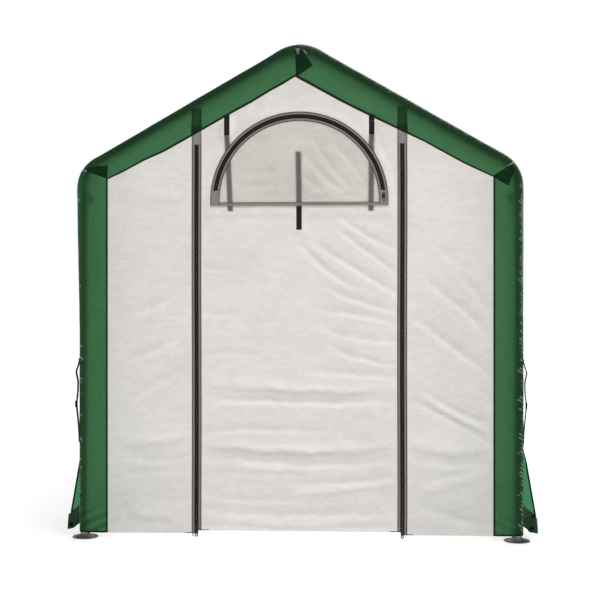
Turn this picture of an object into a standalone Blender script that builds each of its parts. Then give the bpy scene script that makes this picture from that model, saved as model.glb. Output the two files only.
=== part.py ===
"""Walk-in greenhouse with a peaked roof: fitted fabric covers over a frame of three steel ribs.

Metres, Z up. X runs across the front and Y from the front to the back. The origin is on the
ground under the middle of the frame. Depths are measured outwards from the plane of an end rib.
"""
import math

import bmesh
import bpy
from mathutils import Vector

# Frame
RIB_WIDTH = 1.740             # between the centrelines of a rib's two legs
EAVE_HEIGHT = 1.487           # where the centrelines of leg and rafter would cross
ROOF_PITCH = math.radians(29.8)
FRAME_LENGTH = 2.392          # between the centrelines of the two end ribs
TUBE_DIAMETER = 0.0349
TUBE_WALL = 0.0012
EAVE_BEND = 0.120             # centreline radius of the bend at the eave
PEAK_BEND = 0.166             # centreline radius of the bend at the peak
LEG_JOINT_DROP = 0.287        # from the eave crossing down to the slip joint in the leg
RAFTER_JOINT = 0.340          # from the eave crossing to the slip joint in the rafter
SWAGE_LENGTH = 0.055          # narrowed end that enters the next tube
SWAGE_FIT = 0.0006            # radial play of that end in the bore
RAIL_DIAMETER = 0.0254
RAIL_WALL = 0.0012
RAIL_OVERHANG = 0.009         # of a rail past the centreline of an end rib
RAIL_JOINT = 0.060            # the rails' slip joint, behind the middle rib
EAVE_RAIL_DROP = 0.117        # from the eave crossing down to the eave rails
FOOT_DIAMETER = 0.104
FOOT_THICKNESS = 0.003
SPIGOT_HEIGHT = 0.040
SPIGOT_WALL = 0.0015

# Fabric
CLOTH = 0.0012
GAP = 0.0003                  # between pieces that touch
TRIM_FACE = 0.115             # width of the green band seen from the front
TRIM_WING = 0.100             # how far it runs along the side and the roof
HEM_HEIGHT = 0.022            # lower edge of the trim and the end walls
COVER_DROP = 0.102            # from the eave crossing down to the main cover's lower edge
WEBBING = 0.0009
SCREEN = 0.0008

# Door
DOOR_WIDTH = 0.826            # between its two zips
DOOR_DROP = 0.24926           # from the peak crossing down to the seam that the door hangs from
DOOR_FLOOR = 0.034
DOOR_MARGIN = 0.022           # between the door's slanting edges and the trim
SEAM_SLIT = 0.0008
TIE_SPREAD = 0.582            # between the two straps that hold the rolled door
TIE_WIDTH = 0.022
TIE_FRONT = 0.055             # length of a strap in front of the door, down from its sewn top
TIE_TAIL = 0.306              # length of the same strap behind the door, below its slot

# Zips
ZIP_WIDTH = 0.038             # over both tapes
ZIP_SLIT = 0.0016             # between the two coils of a straight zip
ARC_ZIP_SLIT = 0.0024         # the same on an arc, where the slider needs more room
ZIP_TAPE = 0.0010
COIL_DIAMETER = 0.0030
PANEL_SETBACK = 0.008         # from a zip's middle line to the edge of a panel
SLIDER_LENGTH = 0.026
SLIDER_WIDTH = 0.0136
SLIDER_PLATE = 0.0012
SLIDER_PLAY = 0.0004
SLIDER_WEB = 0.0010
SLIDER_REST = 0.001           # from the tape's lower end to the slider
BAIL_REACH = 0.0028           # inside the slider's bail, measured from its front plate
BAIL_WIDTH = 0.0020
BAIL_ROD = 0.0010
BAIL_LENGTH = 0.0150
PULL_WIDTH = 0.0080
PULL_LENGTH = 0.0320
PULL_THICKNESS = 0.0010
PULL_RIM = 0.0016             # width of the pull's rim round its eye
PULL_EYE = 0.0140

# Half-moon vents
VENT_HEAD = 0.018             # from the door's top seam down to the arc's tape
VENT_RADIUS = 0.339           # of the arc zip's middle line
VENT_SILL = 0.015             # from the arc's centre down to the flap's hinge seam
SCREEN_LAP = 0.012            # of the screen below the seam
SCREEN_RIM = 0.0095
VENT_SLIDER_LENGTH = 0.020
VENT_SLIDER_ANGLE = math.radians(3.5)
FLAP_TAPE_ANGLE = math.radians(7.0)
VENT_TIE_WIDTH = 0.022
VENT_TIE_DROP = 0.098
VENT_TIE_RISE = 0.216
VENT_TIE_SEAT = 0.0035        # from the hinge seam down to the tie's own slot

# Side curtains
CURTAIN_DROP = 0.062          # from the eave crossing down to the curtain's top edge
CURTAIN_LENGTH = 2.360
FLARE_TOP = 0.360             # height where the curtain starts to lean outwards
PIPE_HEIGHT = 0.045
PIPE_DIAMETER = 0.0254
PIPE_WALL = 0.0012
PIPE_FLARE = 0.0405            # from the cover's outer face to the pipe's middle line
PIPE_SETBACK = 0.006          # from the curtain's edge to the pipe's end
POCKET_PLAY = 0.0012
POCKET_HEIGHT = 0.052         # from the pipe's middle line to the pocket's seam

# Webbing straps on the outer side of the front legs
SIDE_STRAP_WIDTH = 0.025
SIDE_STRAP_THICKNESS = 0.0014
SIDE_STRAP_TOP = 0.725
SIDE_STRAP_LENGTH = 0.340
SIDE_STRAP_STITCH = 0.014     # sewn length at each end
SIDE_STRAP_SLACK = 0.0155     # how far the strap bows away from the leg

TUBE_SIDES = 10
BEND_STEPS = 6
VENT_STEPS = 36

# Derived places
HALF_WIDTH = RIB_WIDTH / 2
END_PLANE = FRAME_LENGTH / 2
TUBE_RADIUS = TUBE_DIAMETER / 2
RAIL_RADIUS = RAIL_DIAMETER / 2
RAFTER_NORMAL = math.pi / 2 - ROOF_PITCH
PEAK_HEIGHT = EAVE_HEIGHT + HALF_WIDTH * math.tan(ROOF_PITCH)
LEG_JOINT = EAVE_HEIGHT - LEG_JOINT_DROP
EAVE_RAIL_HEIGHT = EAVE_HEIGHT - EAVE_RAIL_DROP
COVER_HEM = EAVE_HEIGHT - COVER_DROP
CURTAIN_TOP = EAVE_HEIGHT - CURTAIN_DROP
DOOR_HEIGHT = PEAK_HEIGHT - DOOR_DROP
VENT_OUTER = VENT_RADIUS + ZIP_WIDTH / 2
VENT_CENTRE = DOOR_HEIGHT - VENT_HEAD - VENT_OUTER
VENT_SEAM = VENT_CENTRE - VENT_SILL
EAVE_CENTRE = (HALF_WIDTH - EAVE_BEND, EAVE_HEIGHT - EAVE_BEND * math.tan(RAFTER_NORMAL / 2))
PEAK_CENTRE = (0.0, PEAK_HEIGHT - PEAK_BEND / math.cos(ROOF_PITCH))
RIDGE_RAIL_HEIGHT = PEAK_CENTRE[1] + PEAK_BEND - TUBE_RADIUS - GAP - RAIL_RADIUS
EAVE_RAIL_PLACE = HALF_WIDTH - TUBE_RADIUS - GAP - RAIL_RADIUS
RIBS = {"front": -END_PLANE, "middle": 0.0, "rear": END_PLANE}
SIDES = {"left": -1, "right": 1}
FRONT, REAR = -1, 1

SIDE_IN = TUBE_RADIUS + GAP
SIDE_OUT = SIDE_IN + CLOTH
WALL_BACK = TUBE_RADIUS + GAP
WALL_FRONT = WALL_BACK + CLOTH
TRIM_BACK = WALL_FRONT + GAP
TRIM_FRONT = TRIM_BACK + CLOTH
TRIM_EDGE = SIDE_OUT - TRIM_FACE
PIPE_SPREAD = RIB_WIDTH + 2 * (SIDE_OUT + PIPE_FLARE)
TAPE_BACK = WALL_FRONT + GAP
TAPE_FRONT = TAPE_BACK + ZIP_TAPE
TAPE_MIDDLE = (TAPE_BACK + TAPE_FRONT) / 2
COIL_RADIUS = COIL_DIAMETER / 2
RIM_FRONT = WALL_BACK - GAP
SCREEN_FRONT = RIM_FRONT - WEBBING - GAP
SCREEN_BACK = SCREEN_FRONT - SCREEN
ZIP_LINE = DOOR_WIDTH / 2
DOOR_EDGE = ZIP_LINE - PANEL_SETBACK


def trim_edge_height(x):
    """Height of the trim's lower edge along the rafter, at a distance x from the middle."""
    return PEAK_HEIGHT - abs(x) * math.tan(ROOF_PITCH) + TRIM_EDGE / math.cos(ROOF_PITCH)


DOOR_SHOULDER = trim_edge_height(DOOR_EDGE) - DOOR_MARGIN
DOOR_TOP_EDGE = DOOR_EDGE - (DOOR_HEIGHT - DOOR_SHOULDER) / math.tan(ROOF_PITCH)
ZIP_TOP = trim_edge_height(ZIP_LINE + ZIP_WIDTH / 2) - DOOR_MARGIN / 2
SLIDER_FLOOR = HEM_HEIGHT + SLIDER_REST
DOOR_TAPE_FLOOR = SLIDER_FLOOR + SLIDER_LENGTH + SLIDER_REST
DOOR_TAPE_TOP = ZIP_TOP - SLIDER_LENGTH - 2 * SLIDER_REST


def clear_scene():
    """Remove every object that the file opened with."""
    for item in list(bpy.data.objects):
        bpy.data.objects.remove(item, do_unlink=True)


def finish(name, colour, roughness, metallic=0.0):
    """A plain surface finish."""
    material = bpy.data.materials.new(name)
    material.use_nodes = True
    shader = material.node_tree.nodes["Principled BSDF"]
    shader.inputs["Base Color"].default_value = (*colour, 1.0)
    shader.inputs["Roughness"].default_value = roughness
    shader.inputs["Metallic"].default_value = metallic
    return material


def add_object(name, mesh, place=(0.0, 0.0, 0.0), turn=(0.0, 0.0, 0.0), parent=None):
    """Put a mesh into the scene under a name; place is in the parent's frame."""
    item = bpy.data.objects.new(name, mesh)
    bpy.context.scene.collection.objects.link(item)
    item.location = place
    item.rotation_euler = turn
    item.parent = parent
    return item


def add_pivot(name, place, parent=None):
    """An empty on a joint's axis, which carries the pieces that move with it."""
    return add_object(name, None, place, parent=parent)


def finished_mesh(name, bm, material, origin=(0.0, 0.0, 0.0), sharp_degrees=40.0):
    """Turn a bmesh into a mesh whose own origin is at the given place."""
    bmesh.ops.translate(bm, verts=bm.verts, vec=-Vector(origin))
    bmesh.ops.recalc_face_normals(bm, faces=bm.faces)
    mesh = bpy.data.meshes.new(name)
    bm.to_mesh(mesh)
    bm.free()
    mesh.materials.append(material)
    mesh.shade_smooth()
    mesh.set_sharp_from_angle(angle=math.radians(sharp_degrees))
    return mesh


def lofted(rings, closed=False):
    """Join equal rings of points, one to the next; closed joins the last ring to the first."""
    bm = bmesh.new()
    loops = [[bm.verts.new(point) for point in ring] for ring in rings]
    pairs = list(zip(loops, loops[1:]))
    if closed:
        pairs.append((loops[-1], loops[0]))
    for near, far in pairs:
        for index in range(len(near)):
            after = (index + 1) % len(near)
            bm.faces.new((near[index], near[after], far[after], far[index]))
    if not closed:
        bm.faces.new(list(reversed(loops[0])))
        bm.faces.new(loops[-1])
    return bm


def circle(radius, sides=TUBE_SIDES):
    """Points of a circle in its own plane."""
    turns = [2 * math.pi * index / sides for index in range(sides)]
    return [(radius * math.cos(turn), radius * math.sin(turn)) for turn in turns]


def arc(centre, radius, start, end, steps):
    """Stations on an arc in the XZ plane: x, z and the angle that points outwards."""
    angles = [start + (end - start) * index / steps for index in range(steps + 1)]
    return [(centre[0] + radius * math.cos(angle), centre[1] + radius * math.sin(angle), angle)
            for angle in angles]


def mirrored(stations):
    """The same stations on the other side of the ridge, in the reverse order."""
    return [(-x, z, math.pi - angle) for x, z, angle in reversed(stations)]


def rib_outline(offset, floor):
    """Stations along a rib from the right foot to the left, moved outwards by an offset."""
    eave = arc(EAVE_CENTRE, EAVE_BEND + offset, 0.0, RAFTER_NORMAL, BEND_STEPS)
    peak = arc(PEAK_CENTRE, PEAK_BEND + offset, RAFTER_NORMAL, math.pi - RAFTER_NORMAL, BEND_STEPS)
    right = [(HALF_WIDTH + offset, floor, 0.0)] + eave
    return right + peak + mirrored(right)


def across(station, section, y=0.0, face=REAR):
    """A ring at a station: section points are (outwards in the rib's plane, along Y)."""
    x, z, angle = station
    return [Vector((x + u * math.cos(angle), y + face * v, z + u * math.sin(angle)))
            for u, v in section]


def rib_tube(parts):
    """A hollow tube along (station, outer radius) pairs; its wall is the rib's."""
    outer = [across(station, circle(radius)) for station, radius in parts]
    inner = [across(station, circle(radius - TUBE_WALL)) for station, radius in parts]
    return lofted(outer + inner[::-1], closed=True)


def straight_tube(parts, wall):
    """A hollow tube along Y from (y, outer radius) pairs, centred on its own axis."""
    def ring(y, radius):
        return [Vector((u, y, v)) for u, v in circle(radius)]
    outer = [ring(y, radius) for y, radius in parts]
    inner = [ring(y, radius - wall) for y, radius in parts]
    return lofted(outer + inner[::-1], closed=True)


def plate(outlines, face, back, front):
    """A flat sheet with its outline and its holes in the XZ plane, between two depths."""
    bm = bmesh.new()
    for outline in outlines:
        corners = [bm.verts.new((x, face * (END_PLANE + back), z)) for x, z in outline]
        for index, corner in enumerate(corners):
            bm.edges.new((corner, corners[(index + 1) % len(corners)]))
    bmesh.ops.triangle_fill(bm, use_beauty=True, use_dissolve=False, edges=bm.edges[:])
    grown = bmesh.ops.extrude_face_region(bm, geom=bm.faces[:])
    moved = [part for part in grown["geom"] if isinstance(part, bmesh.types.BMVert)]
    bmesh.ops.translate(bm, verts=moved, vec=(0.0, face * (front - back), 0.0))
    return bm


def thickened(path, thickness):
    """The closed outline of a strip that follows a path of 2D points."""
    points = [Vector(point) for point in path]
    left, right = [], []
    for index, point in enumerate(points):
        before = (point - points[index - 1]).normalized() if index else None
        after = (points[index + 1] - point).normalized() if index + 1 < len(points) else before
        before = before or after
        tangent = (before + after).normalized()
        normal = Vector((-tangent.y, tangent.x)) / max(tangent.dot(after), 0.5)
        left.append(point + normal * thickness / 2)
        right.append(point - normal * thickness / 2)
    return left + right[::-1]


def half_moon(radius, floor, steps=VENT_STEPS):
    """Outline of a half disc round the vent's centre that ends at a level line."""
    dip = math.asin((VENT_CENTRE - floor) / radius)
    return [(x, z) for x, z, _ in arc((0.0, VENT_CENTRE), radius, -dip, math.pi + dip, steps)]


def make_frame(steel):
    """Three ribs of five tubes each, six rails and six feet."""
    narrow = TUBE_RADIUS - TUBE_WALL - SWAGE_FIT
    swage_start = SWAGE_LENGTH / 5
    foot_top = FOOT_THICKNESS + GAP
    rafter = Vector((-math.cos(ROOF_PITCH), math.sin(ROOF_PITCH)))
    eave_cross = Vector((HALF_WIDTH, EAVE_HEIGHT))

    def leg_station(height):
        return (HALF_WIDTH, height, 0.0)

    def rafter_station(distance):
        return (*(eave_cross + rafter * distance), RAFTER_NORMAL)

    leg_parts = [(leg_station(foot_top), TUBE_RADIUS), (leg_station(LEG_JOINT - swage_start), TUBE_RADIUS),
                 (leg_station(LEG_JOINT), narrow), (leg_station(LEG_JOINT + SWAGE_LENGTH), narrow)]
    leg = finished_mesh("leg", rib_tube(leg_parts), steel, origin=(HALF_WIDTH, 0.0, 0.0))

    bend = arc(EAVE_CENTRE, EAVE_BEND, 0.0, RAFTER_NORMAL, BEND_STEPS)
    eave_parts = [(station, TUBE_RADIUS) for station in [leg_station(LEG_JOINT + GAP)] + bend]
    eave_parts.append((rafter_station(RAFTER_JOINT - swage_start), TUBE_RADIUS))
    eave_parts.append((rafter_station(RAFTER_JOINT), narrow))
    eave_parts.append((rafter_station(RAFTER_JOINT + SWAGE_LENGTH), narrow))
    eave = finished_mesh("eave_bend", rib_tube(eave_parts), steel, origin=(HALF_WIDTH, 0.0, 0.0))

    end = rafter_station(RAFTER_JOINT + GAP)
    top = arc(PEAK_CENTRE, PEAK_BEND, RAFTER_NORMAL, math.pi - RAFTER_NORMAL, BEND_STEPS)
    peak_parts = [(station, TUBE_RADIUS) for station in [end] + top + mirrored([end])]
    peak = finished_mesh("peak_bend", rib_tube(peak_parts), steel)

    disc = circle(FOOT_DIAMETER / 2, 20)
    spigot_radius = narrow - SWAGE_FIT
    hollow = circle(spigot_radius - SPIGOT_WALL, 20)
    levels = [(disc, 0.0), (disc, FOOT_THICKNESS), (circle(spigot_radius, 20), FOOT_THICKNESS),
              (circle(spigot_radius, 20), FOOT_THICKNESS + SPIGOT_HEIGHT),
              (hollow, FOOT_THICKNESS + SPIGOT_HEIGHT), (hollow, FOOT_THICKNESS)]
    foot = finished_mesh("foot_plate", lofted([[Vector((x, y, z)) for x, y in ring] for ring, z in levels]),
                         steel)

    for rib, y in RIBS.items():
        add_object(f"{rib}_peak_bend", peak, (0.0, y, 0.0))
        for side, sign in SIDES.items():
            place = (sign * HALF_WIDTH, y, 0.0)
            turn = (0.0, 0.0, 0.0 if sign > 0 else math.pi)
            add_object(f"{rib}_{side}_leg", leg, place, turn)
            add_object(f"{rib}_{side}_eave_bend", eave, place, turn)
            add_object(f"{rib}_{side}_foot_plate", foot, place)

    slim = RAIL_RADIUS - RAIL_WALL - SWAGE_FIT
    reach = END_PLANE + RAIL_OVERHANG
    front_rail = [(-reach, RAIL_RADIUS), (RAIL_JOINT - swage_start, RAIL_RADIUS), (RAIL_JOINT, slim),
                  (RAIL_JOINT + SWAGE_LENGTH, slim)]
    rear_rail = [(RAIL_JOINT + GAP, RAIL_RADIUS), (reach, RAIL_RADIUS)]
    rails = {"front": front_rail, "rear": rear_rail}
    lines = {"ridge": (0.0, RIDGE_RAIL_HEIGHT), "left_eave": (-EAVE_RAIL_PLACE, EAVE_RAIL_HEIGHT),
             "right_eave": (EAVE_RAIL_PLACE, EAVE_RAIL_HEIGHT)}
    for end_name, parts in rails.items():
        rail = finished_mesh(f"{end_name}_rail", straight_tube(parts, RAIL_WALL), steel)
        for line, (x, z) in lines.items():
            add_object(f"{end_name}_{line}_rail", rail, (x, 0.0, z))


def make_main_cover(film):
    """The clear roof sheet, which runs over both eaves between the two trims."""
    half_length = END_PLANE - TRIM_WING - GAP
    outer = [(x, z) for x, z, _ in rib_outline(SIDE_OUT, COVER_HEM)]
    inner = [(x, z) for x, z, _ in rib_outline(SIDE_IN, COVER_HEM)]
    outline = outer + inner[::-1]
    rings = [[Vector((x, y, z)) for x, z in outline] for y in (-half_length, half_length)]
    add_object("main_cover", finished_mesh("main_cover", lofted(rings), film))


def make_trim(name, face, green):
    """Green band round an end rib: a wing along the roof and sides, and a face in front."""
    def corner(side, front):
        turns = [math.pi / 2 * index / 4 for index in range(5)]
        return [(side * math.cos(turn), front * math.sin(turn)) for turn in turns]
    outer = [(SIDE_OUT, -TRIM_WING)] + corner(SIDE_OUT, TRIM_FRONT) + [(TRIM_EDGE, TRIM_FRONT)]
    inner = [(SIDE_IN, -TRIM_WING)] + corner(SIDE_IN, TRIM_BACK) + [(TRIM_EDGE, TRIM_BACK)]
    section = outer + inner[::-1]
    rings = [across(station, section, face * END_PLANE, face) for station in rib_outline(0.0, HEM_HEIGHT)]
    add_object(name, finished_mesh(name, lofted(rings), green))


def doorway(slack):
    """Right-hand edge of the door, grown by a slack: from the top seam down to its shoulder."""
    lift = slack / math.cos(ROOF_PITCH)
    top_edge = DOOR_TOP_EDGE + (lift - slack) / math.tan(ROOF_PITCH)
    return [(top_edge, DOOR_HEIGHT + slack), (DOOR_EDGE, DOOR_SHOULDER + lift)]


def make_end_walls(film):
    """Front wall with the doorway cut out of it, and the closed rear wall with a vent hole."""
    gable = [(x, z) for x, z, _ in rib_outline(0.0, HEM_HEIGHT)]
    top, shoulder = doorway(SEAM_SLIT / 2)
    jamb = ZIP_LINE + PANEL_SETBACK
    right = [(jamb, HEM_HEIGHT), (jamb, shoulder[1]), shoulder, top]
    outline = gable + [(-x, z) for x, z in right] + right[::-1]
    mesh = finished_mesh("front_wall", plate([outline], FRONT, WALL_BACK, WALL_FRONT), film)
    add_object("front_wall", mesh)
    hole = half_moon(VENT_RADIUS + PANEL_SETBACK, VENT_SEAM - SEAM_SLIT / 2)
    mesh = finished_mesh("rear_wall", plate([gable, hole], REAR, WALL_BACK, WALL_FRONT), film)
    add_object("rear_wall", mesh)


def zip_half(side, slit=ZIP_SLIT):
    """Section of one tape with its coil: (across the zip, depth); side is +1 or -1."""
    middle = slit / 2 + COIL_RADIUS
    root = middle + COIL_RADIUS * math.cos(math.radians(20))
    coil = [(middle + COIL_RADIUS * math.cos(turn), TAPE_MIDDLE + COIL_RADIUS * math.sin(turn))
            for turn in (math.radians(degrees) for degrees in range(60, 301, 60))]
    tape = ZIP_WIDTH / 2
    points = [(tape, TAPE_BACK), (tape, TAPE_FRONT), (root, TAPE_FRONT)] + coil + [(root, TAPE_BACK)]
    return [(side * x, depth) for x, depth in points]


def make_straight_tape(name, sign, side, floor, top, woven, pivot=None):
    """One tape of a door zip; sign is the door's side and side is the tape's."""
    section = zip_half(sign * side)
    rings = [[Vector((sign * ZIP_LINE + x, -(END_PLANE + depth), z)) for x, depth in section]
             for z in (floor, top)]
    place_piece(name, lofted(rings), woven, pivot)


def place_piece(name, bm, material, pivot=None, sharp_degrees=40.0):
    """Add a piece modelled where it stands; with a pivot, its origin moves onto the pivot."""
    origin = pivot_place(pivot)
    mesh = finished_mesh(name, bm, material, origin=origin, sharp_degrees=sharp_degrees)
    return add_object(name, mesh, parent=pivot)


def pivot_place(pivot):
    """World place of an empty that may hang under others."""
    place = Vector((0.0, 0.0, 0.0))
    while pivot is not None:
        place += pivot.location
        pivot = pivot.parent
    return place


def slider_body(across_middle, level, length, face):
    """A zip slider: two plates joined by a web that runs between the coils."""
    coil_back, coil_front = TAPE_MIDDLE - COIL_RADIUS, TAPE_MIDDLE + COIL_RADIUS
    back_inner, front_inner = coil_back - SLIDER_PLAY, coil_front + SLIDER_PLAY
    half, web = SLIDER_WIDTH / 2, SLIDER_WEB / 2
    right = [(half, back_inner - SLIDER_PLATE), (half, back_inner), (web, back_inner), (web, front_inner),
             (half, front_inner), (half, front_inner + SLIDER_PLATE)]
    section = right + [(-x, depth) for x, depth in reversed(right)]
    rings = [[Vector((across_middle + x, face * (END_PLANE + depth), z)) for x, depth in section]
             for z in (level, level + length)]
    return lofted(rings)


def slider_front():
    """Depth of a slider's front surface."""
    return TAPE_MIDDLE + COIL_RADIUS + SLIDER_PLAY + SLIDER_PLATE


def join_to(base, name, bm, material, origin):
    """Join a second solid to a piece with a Boolean union."""
    helper = add_object(name, finished_mesh(name, bm, material, origin=origin), parent=base)
    helper.hide_render = True
    helper.display_type = "WIRE"
    union = base.modifiers.new("joined", "BOOLEAN")
    union.operation = "UNION"
    union.solver = "EXACT"
    union.object = helper


def make_door_zip(side, sign, door, woven, metal):
    """Tapes, slider and pull of one of the door's two zips."""
    make_straight_tape(f"{side}_wall_tape", sign, 1, HEM_HEIGHT, ZIP_TOP, woven)
    make_straight_tape(f"{side}_door_tape", sign, -1, DOOR_TAPE_FLOOR, DOOR_TAPE_TOP, woven, door)

    x = sign * ZIP_LINE
    face_depth = slider_front()
    bail_floor = SLIDER_FLOOR + (SLIDER_LENGTH - BAIL_LENGTH) / 2
    bail_top = bail_floor + BAIL_LENGTH
    slider_axis = add_pivot(f"{side}_slider_axis", (x, -(END_PLANE + TAPE_MIDDLE), SLIDER_FLOOR))
    slider = place_piece(f"{side}_zip_slider", slider_body(x, SLIDER_FLOOR, SLIDER_LENGTH, FRONT), metal,
                         slider_axis)
    sunk = face_depth - SLIDER_PLATE / 2
    tip = face_depth + BAIL_REACH
    bail = [(sunk, bail_floor), (tip + BAIL_ROD, bail_floor), (tip + BAIL_ROD, bail_top), (sunk, bail_top),
            (sunk, bail_top - BAIL_ROD), (tip, bail_top - BAIL_ROD), (tip, bail_floor + BAIL_ROD),
            (sunk, bail_floor + BAIL_ROD)]
    rings = [[Vector((x + shift, -(END_PLANE + depth), z)) for depth, z in bail]
             for shift in (-BAIL_WIDTH / 2, BAIL_WIDTH / 2)]
    join_to(slider, f"{side}_slider_bail", lofted(rings), metal, pivot_place(slider_axis))

    pivot_depth = face_depth + BAIL_REACH / 2
    pivot_height = bail_top - BAIL_ROD - PULL_RIM
    swing = add_pivot(f"{side}_pull_axis", Vector((x, -(END_PLANE + pivot_depth), pivot_height))
                      - slider_axis.location, slider_axis)
    top = pivot_height + PULL_RIM / 2
    bottom = top - PULL_LENGTH
    half, eye = PULL_WIDTH / 2, PULL_WIDTH / 2 - PULL_RIM
    outline = [(x - half, bottom), (x + half, bottom), (x + half, top), (x - half, top)]
    hole = [(x - eye, top - PULL_RIM - PULL_EYE), (x + eye, top - PULL_RIM - PULL_EYE),
            (x + eye, top - PULL_RIM), (x - eye, top - PULL_RIM)]
    place_piece(f"{side}_zip_pull", plate([outline, hole], FRONT, pivot_depth - PULL_THICKNESS / 2,
                                          pivot_depth + PULL_THICKNESS / 2), metal, swing)


def ring_sector(section, start, end, face):
    """A section of (across the zip, depth) turned round the vent's centre."""
    rings = []
    for x, z, angle in arc((0.0, VENT_CENTRE), VENT_RADIUS, start, end, VENT_STEPS):
        rings.append([Vector((x + u * math.cos(angle), face * (END_PLANE + depth), z + u * math.sin(angle)))
                      for u, depth in section])
    return lofted(rings)


def make_vent(prefix, face, carrier, film, woven, mesh_cloth, metal):
    """Half-moon vent: screen, hinged flap, the two tapes of its arc zip, and the slider."""
    seam = (0.0, face * (END_PLANE + WALL_FRONT), VENT_SEAM)
    offset = Vector(seam) - pivot_place(carrier)
    hinge = add_pivot(f"{prefix}vent_hinge", offset, carrier)
    flap_floor = VENT_SEAM + SEAM_SLIT / 2
    flap = half_moon(VENT_RADIUS - PANEL_SETBACK, flap_floor)
    place_piece(f"{prefix}vent_flap", plate([flap], face, WALL_BACK, WALL_FRONT), film, hinge)
    flap_tape = ring_sector(zip_half(-1, ARC_ZIP_SLIT), FLAP_TAPE_ANGLE, math.pi - FLAP_TAPE_ANGLE, face)
    place_piece(f"{prefix}vent_flap_tape", flap_tape, woven, hinge)
    tape_dip = math.asin((VENT_CENTRE - VENT_SEAM) / VENT_RADIUS)
    frame_tape = ring_sector(zip_half(1, ARC_ZIP_SLIT), -tape_dip, math.pi + tape_dip, face)
    place_piece(f"{prefix}vent_frame_tape", frame_tape, woven, carrier)

    outer = half_moon(VENT_OUTER - GAP, VENT_SEAM - SCREEN_LAP)
    inner = half_moon(VENT_OUTER - SCREEN_RIM, VENT_SEAM - SCREEN_LAP / 2)
    levels = [(outer, SCREEN_BACK), (outer, RIM_FRONT), (inner, RIM_FRONT), (inner, SCREEN_FRONT)]
    rings = [[Vector((x, face * (END_PLANE + depth), z)) for x, z in ring] for ring, depth in levels]
    place_piece(f"{prefix}vent_screen", lofted(rings), mesh_cloth, carrier)

    centre = Vector((0.0, face * (END_PLANE + TAPE_MIDDLE), VENT_CENTRE))
    orbit = add_pivot(f"{prefix}vent_zip_centre", centre - pivot_place(carrier), carrier)
    orbit.rotation_euler = (0.0, -VENT_SLIDER_ANGLE, 0.0)
    level = VENT_CENTRE - VENT_SLIDER_LENGTH / 2
    body = slider_body(VENT_RADIUS, level, VENT_SLIDER_LENGTH, face)
    slider = place_piece(f"{prefix}vent_zip_slider", body, metal, orbit)
    front = slider_front()
    half = PULL_WIDTH / 2
    top = VENT_CENTRE + VENT_SLIDER_LENGTH / 4
    outline = [(VENT_RADIUS - half, top - PULL_LENGTH), (VENT_RADIUS + half, top - PULL_LENGTH),
               (VENT_RADIUS + half, top), (VENT_RADIUS - half, top)]
    tab = plate([outline], face, front - SLIDER_PLATE / 2, front + PULL_THICKNESS)
    join_to(slider, f"{prefix}vent_slider_tab", tab, metal, pivot_place(orbit))


def make_webbing(name, path, middle, width, thickness, material, pivot=None):
    """A strap that bends in the plane of depth and height, with its width along X."""
    outline = thickened(path, thickness)
    rings = [[Vector((x, -(END_PLANE + depth), z)) for depth, z in outline]
             for x in (middle - width / 2, middle + width / 2)]
    place_piece(name, lofted(rings), material, pivot)


def make_door(film, woven, webbing, mesh_cloth, metal):
    """The door panel with its vent, hanging from its top seam."""
    door = add_pivot("door_hinge", (0.0, -(END_PLANE + WALL_FRONT), DOOR_HEIGHT))
    top, shoulder = doorway(-SEAM_SLIT / 2)
    right = [top, shoulder, (DOOR_EDGE, DOOR_FLOOR)]
    outline = right + [(-x, z) for x, z in reversed(right)]
    slot_half = VENT_TIE_WIDTH / 2 + 2 * GAP
    slot_floor = VENT_SEAM - VENT_TIE_SEAT - WEBBING
    edge = VENT_SEAM - SEAM_SLIT / 2
    slot = [(-slot_half, edge), (-slot_half, slot_floor), (slot_half, slot_floor), (slot_half, edge)]
    vent_hole = half_moon(VENT_RADIUS + PANEL_SETBACK, edge) + slot
    tie_middle = TIE_SPREAD / 2
    tie_half = TIE_WIDTH / 2 + 2 * GAP
    tie_top = trim_edge_height(tie_middle + tie_half) - DOOR_MARGIN
    tie_level = tie_top - TIE_FRONT
    tie_slots = [[(sign * tie_middle + x, tie_level + z) for x, z in
                  ((-tie_half, -WEBBING), (tie_half, -WEBBING), (tie_half, WEBBING), (-tie_half, WEBBING))]
                 for sign in SIDES.values()]
    panel = plate([outline, vent_hole] + tie_slots, FRONT, WALL_BACK, WALL_FRONT)
    place_piece("door_panel", panel, film, door)

    outer_leg = TAPE_BACK + WEBBING / 2
    inner_leg = SCREEN_BACK - GAP - WEBBING / 2
    for side, sign in SIDES.items():
        path = [(outer_leg, tie_top), (outer_leg, tie_level), (inner_leg, tie_level),
                (inner_leg, tie_level - TIE_TAIL)]
        make_webbing(f"{side}_door_tie", path, sign * tie_middle, TIE_WIDTH, WEBBING, webbing, door)
        make_door_zip(side, sign, door, woven, metal)

    seat = VENT_SEAM - VENT_TIE_SEAT
    behind_flap = RIM_FRONT - WEBBING / 2
    path = [(outer_leg, seat - VENT_TIE_DROP), (outer_leg, seat), (behind_flap, seat),
            (behind_flap, seat + VENT_TIE_RISE)]
    make_webbing("vent_tie", path, 0.0, VENT_TIE_WIDTH, WEBBING, webbing, door)
    make_vent("", FRONT, door, film, woven, mesh_cloth, metal)


def touching_turn(centre, radius, point, side):
    """Angle on a circle where a line from an outside point touches it; side picks the line."""
    away = Vector(point) - Vector(centre)
    return math.atan2(away.y, away.x) + side * math.acos(radius / away.length)


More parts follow.
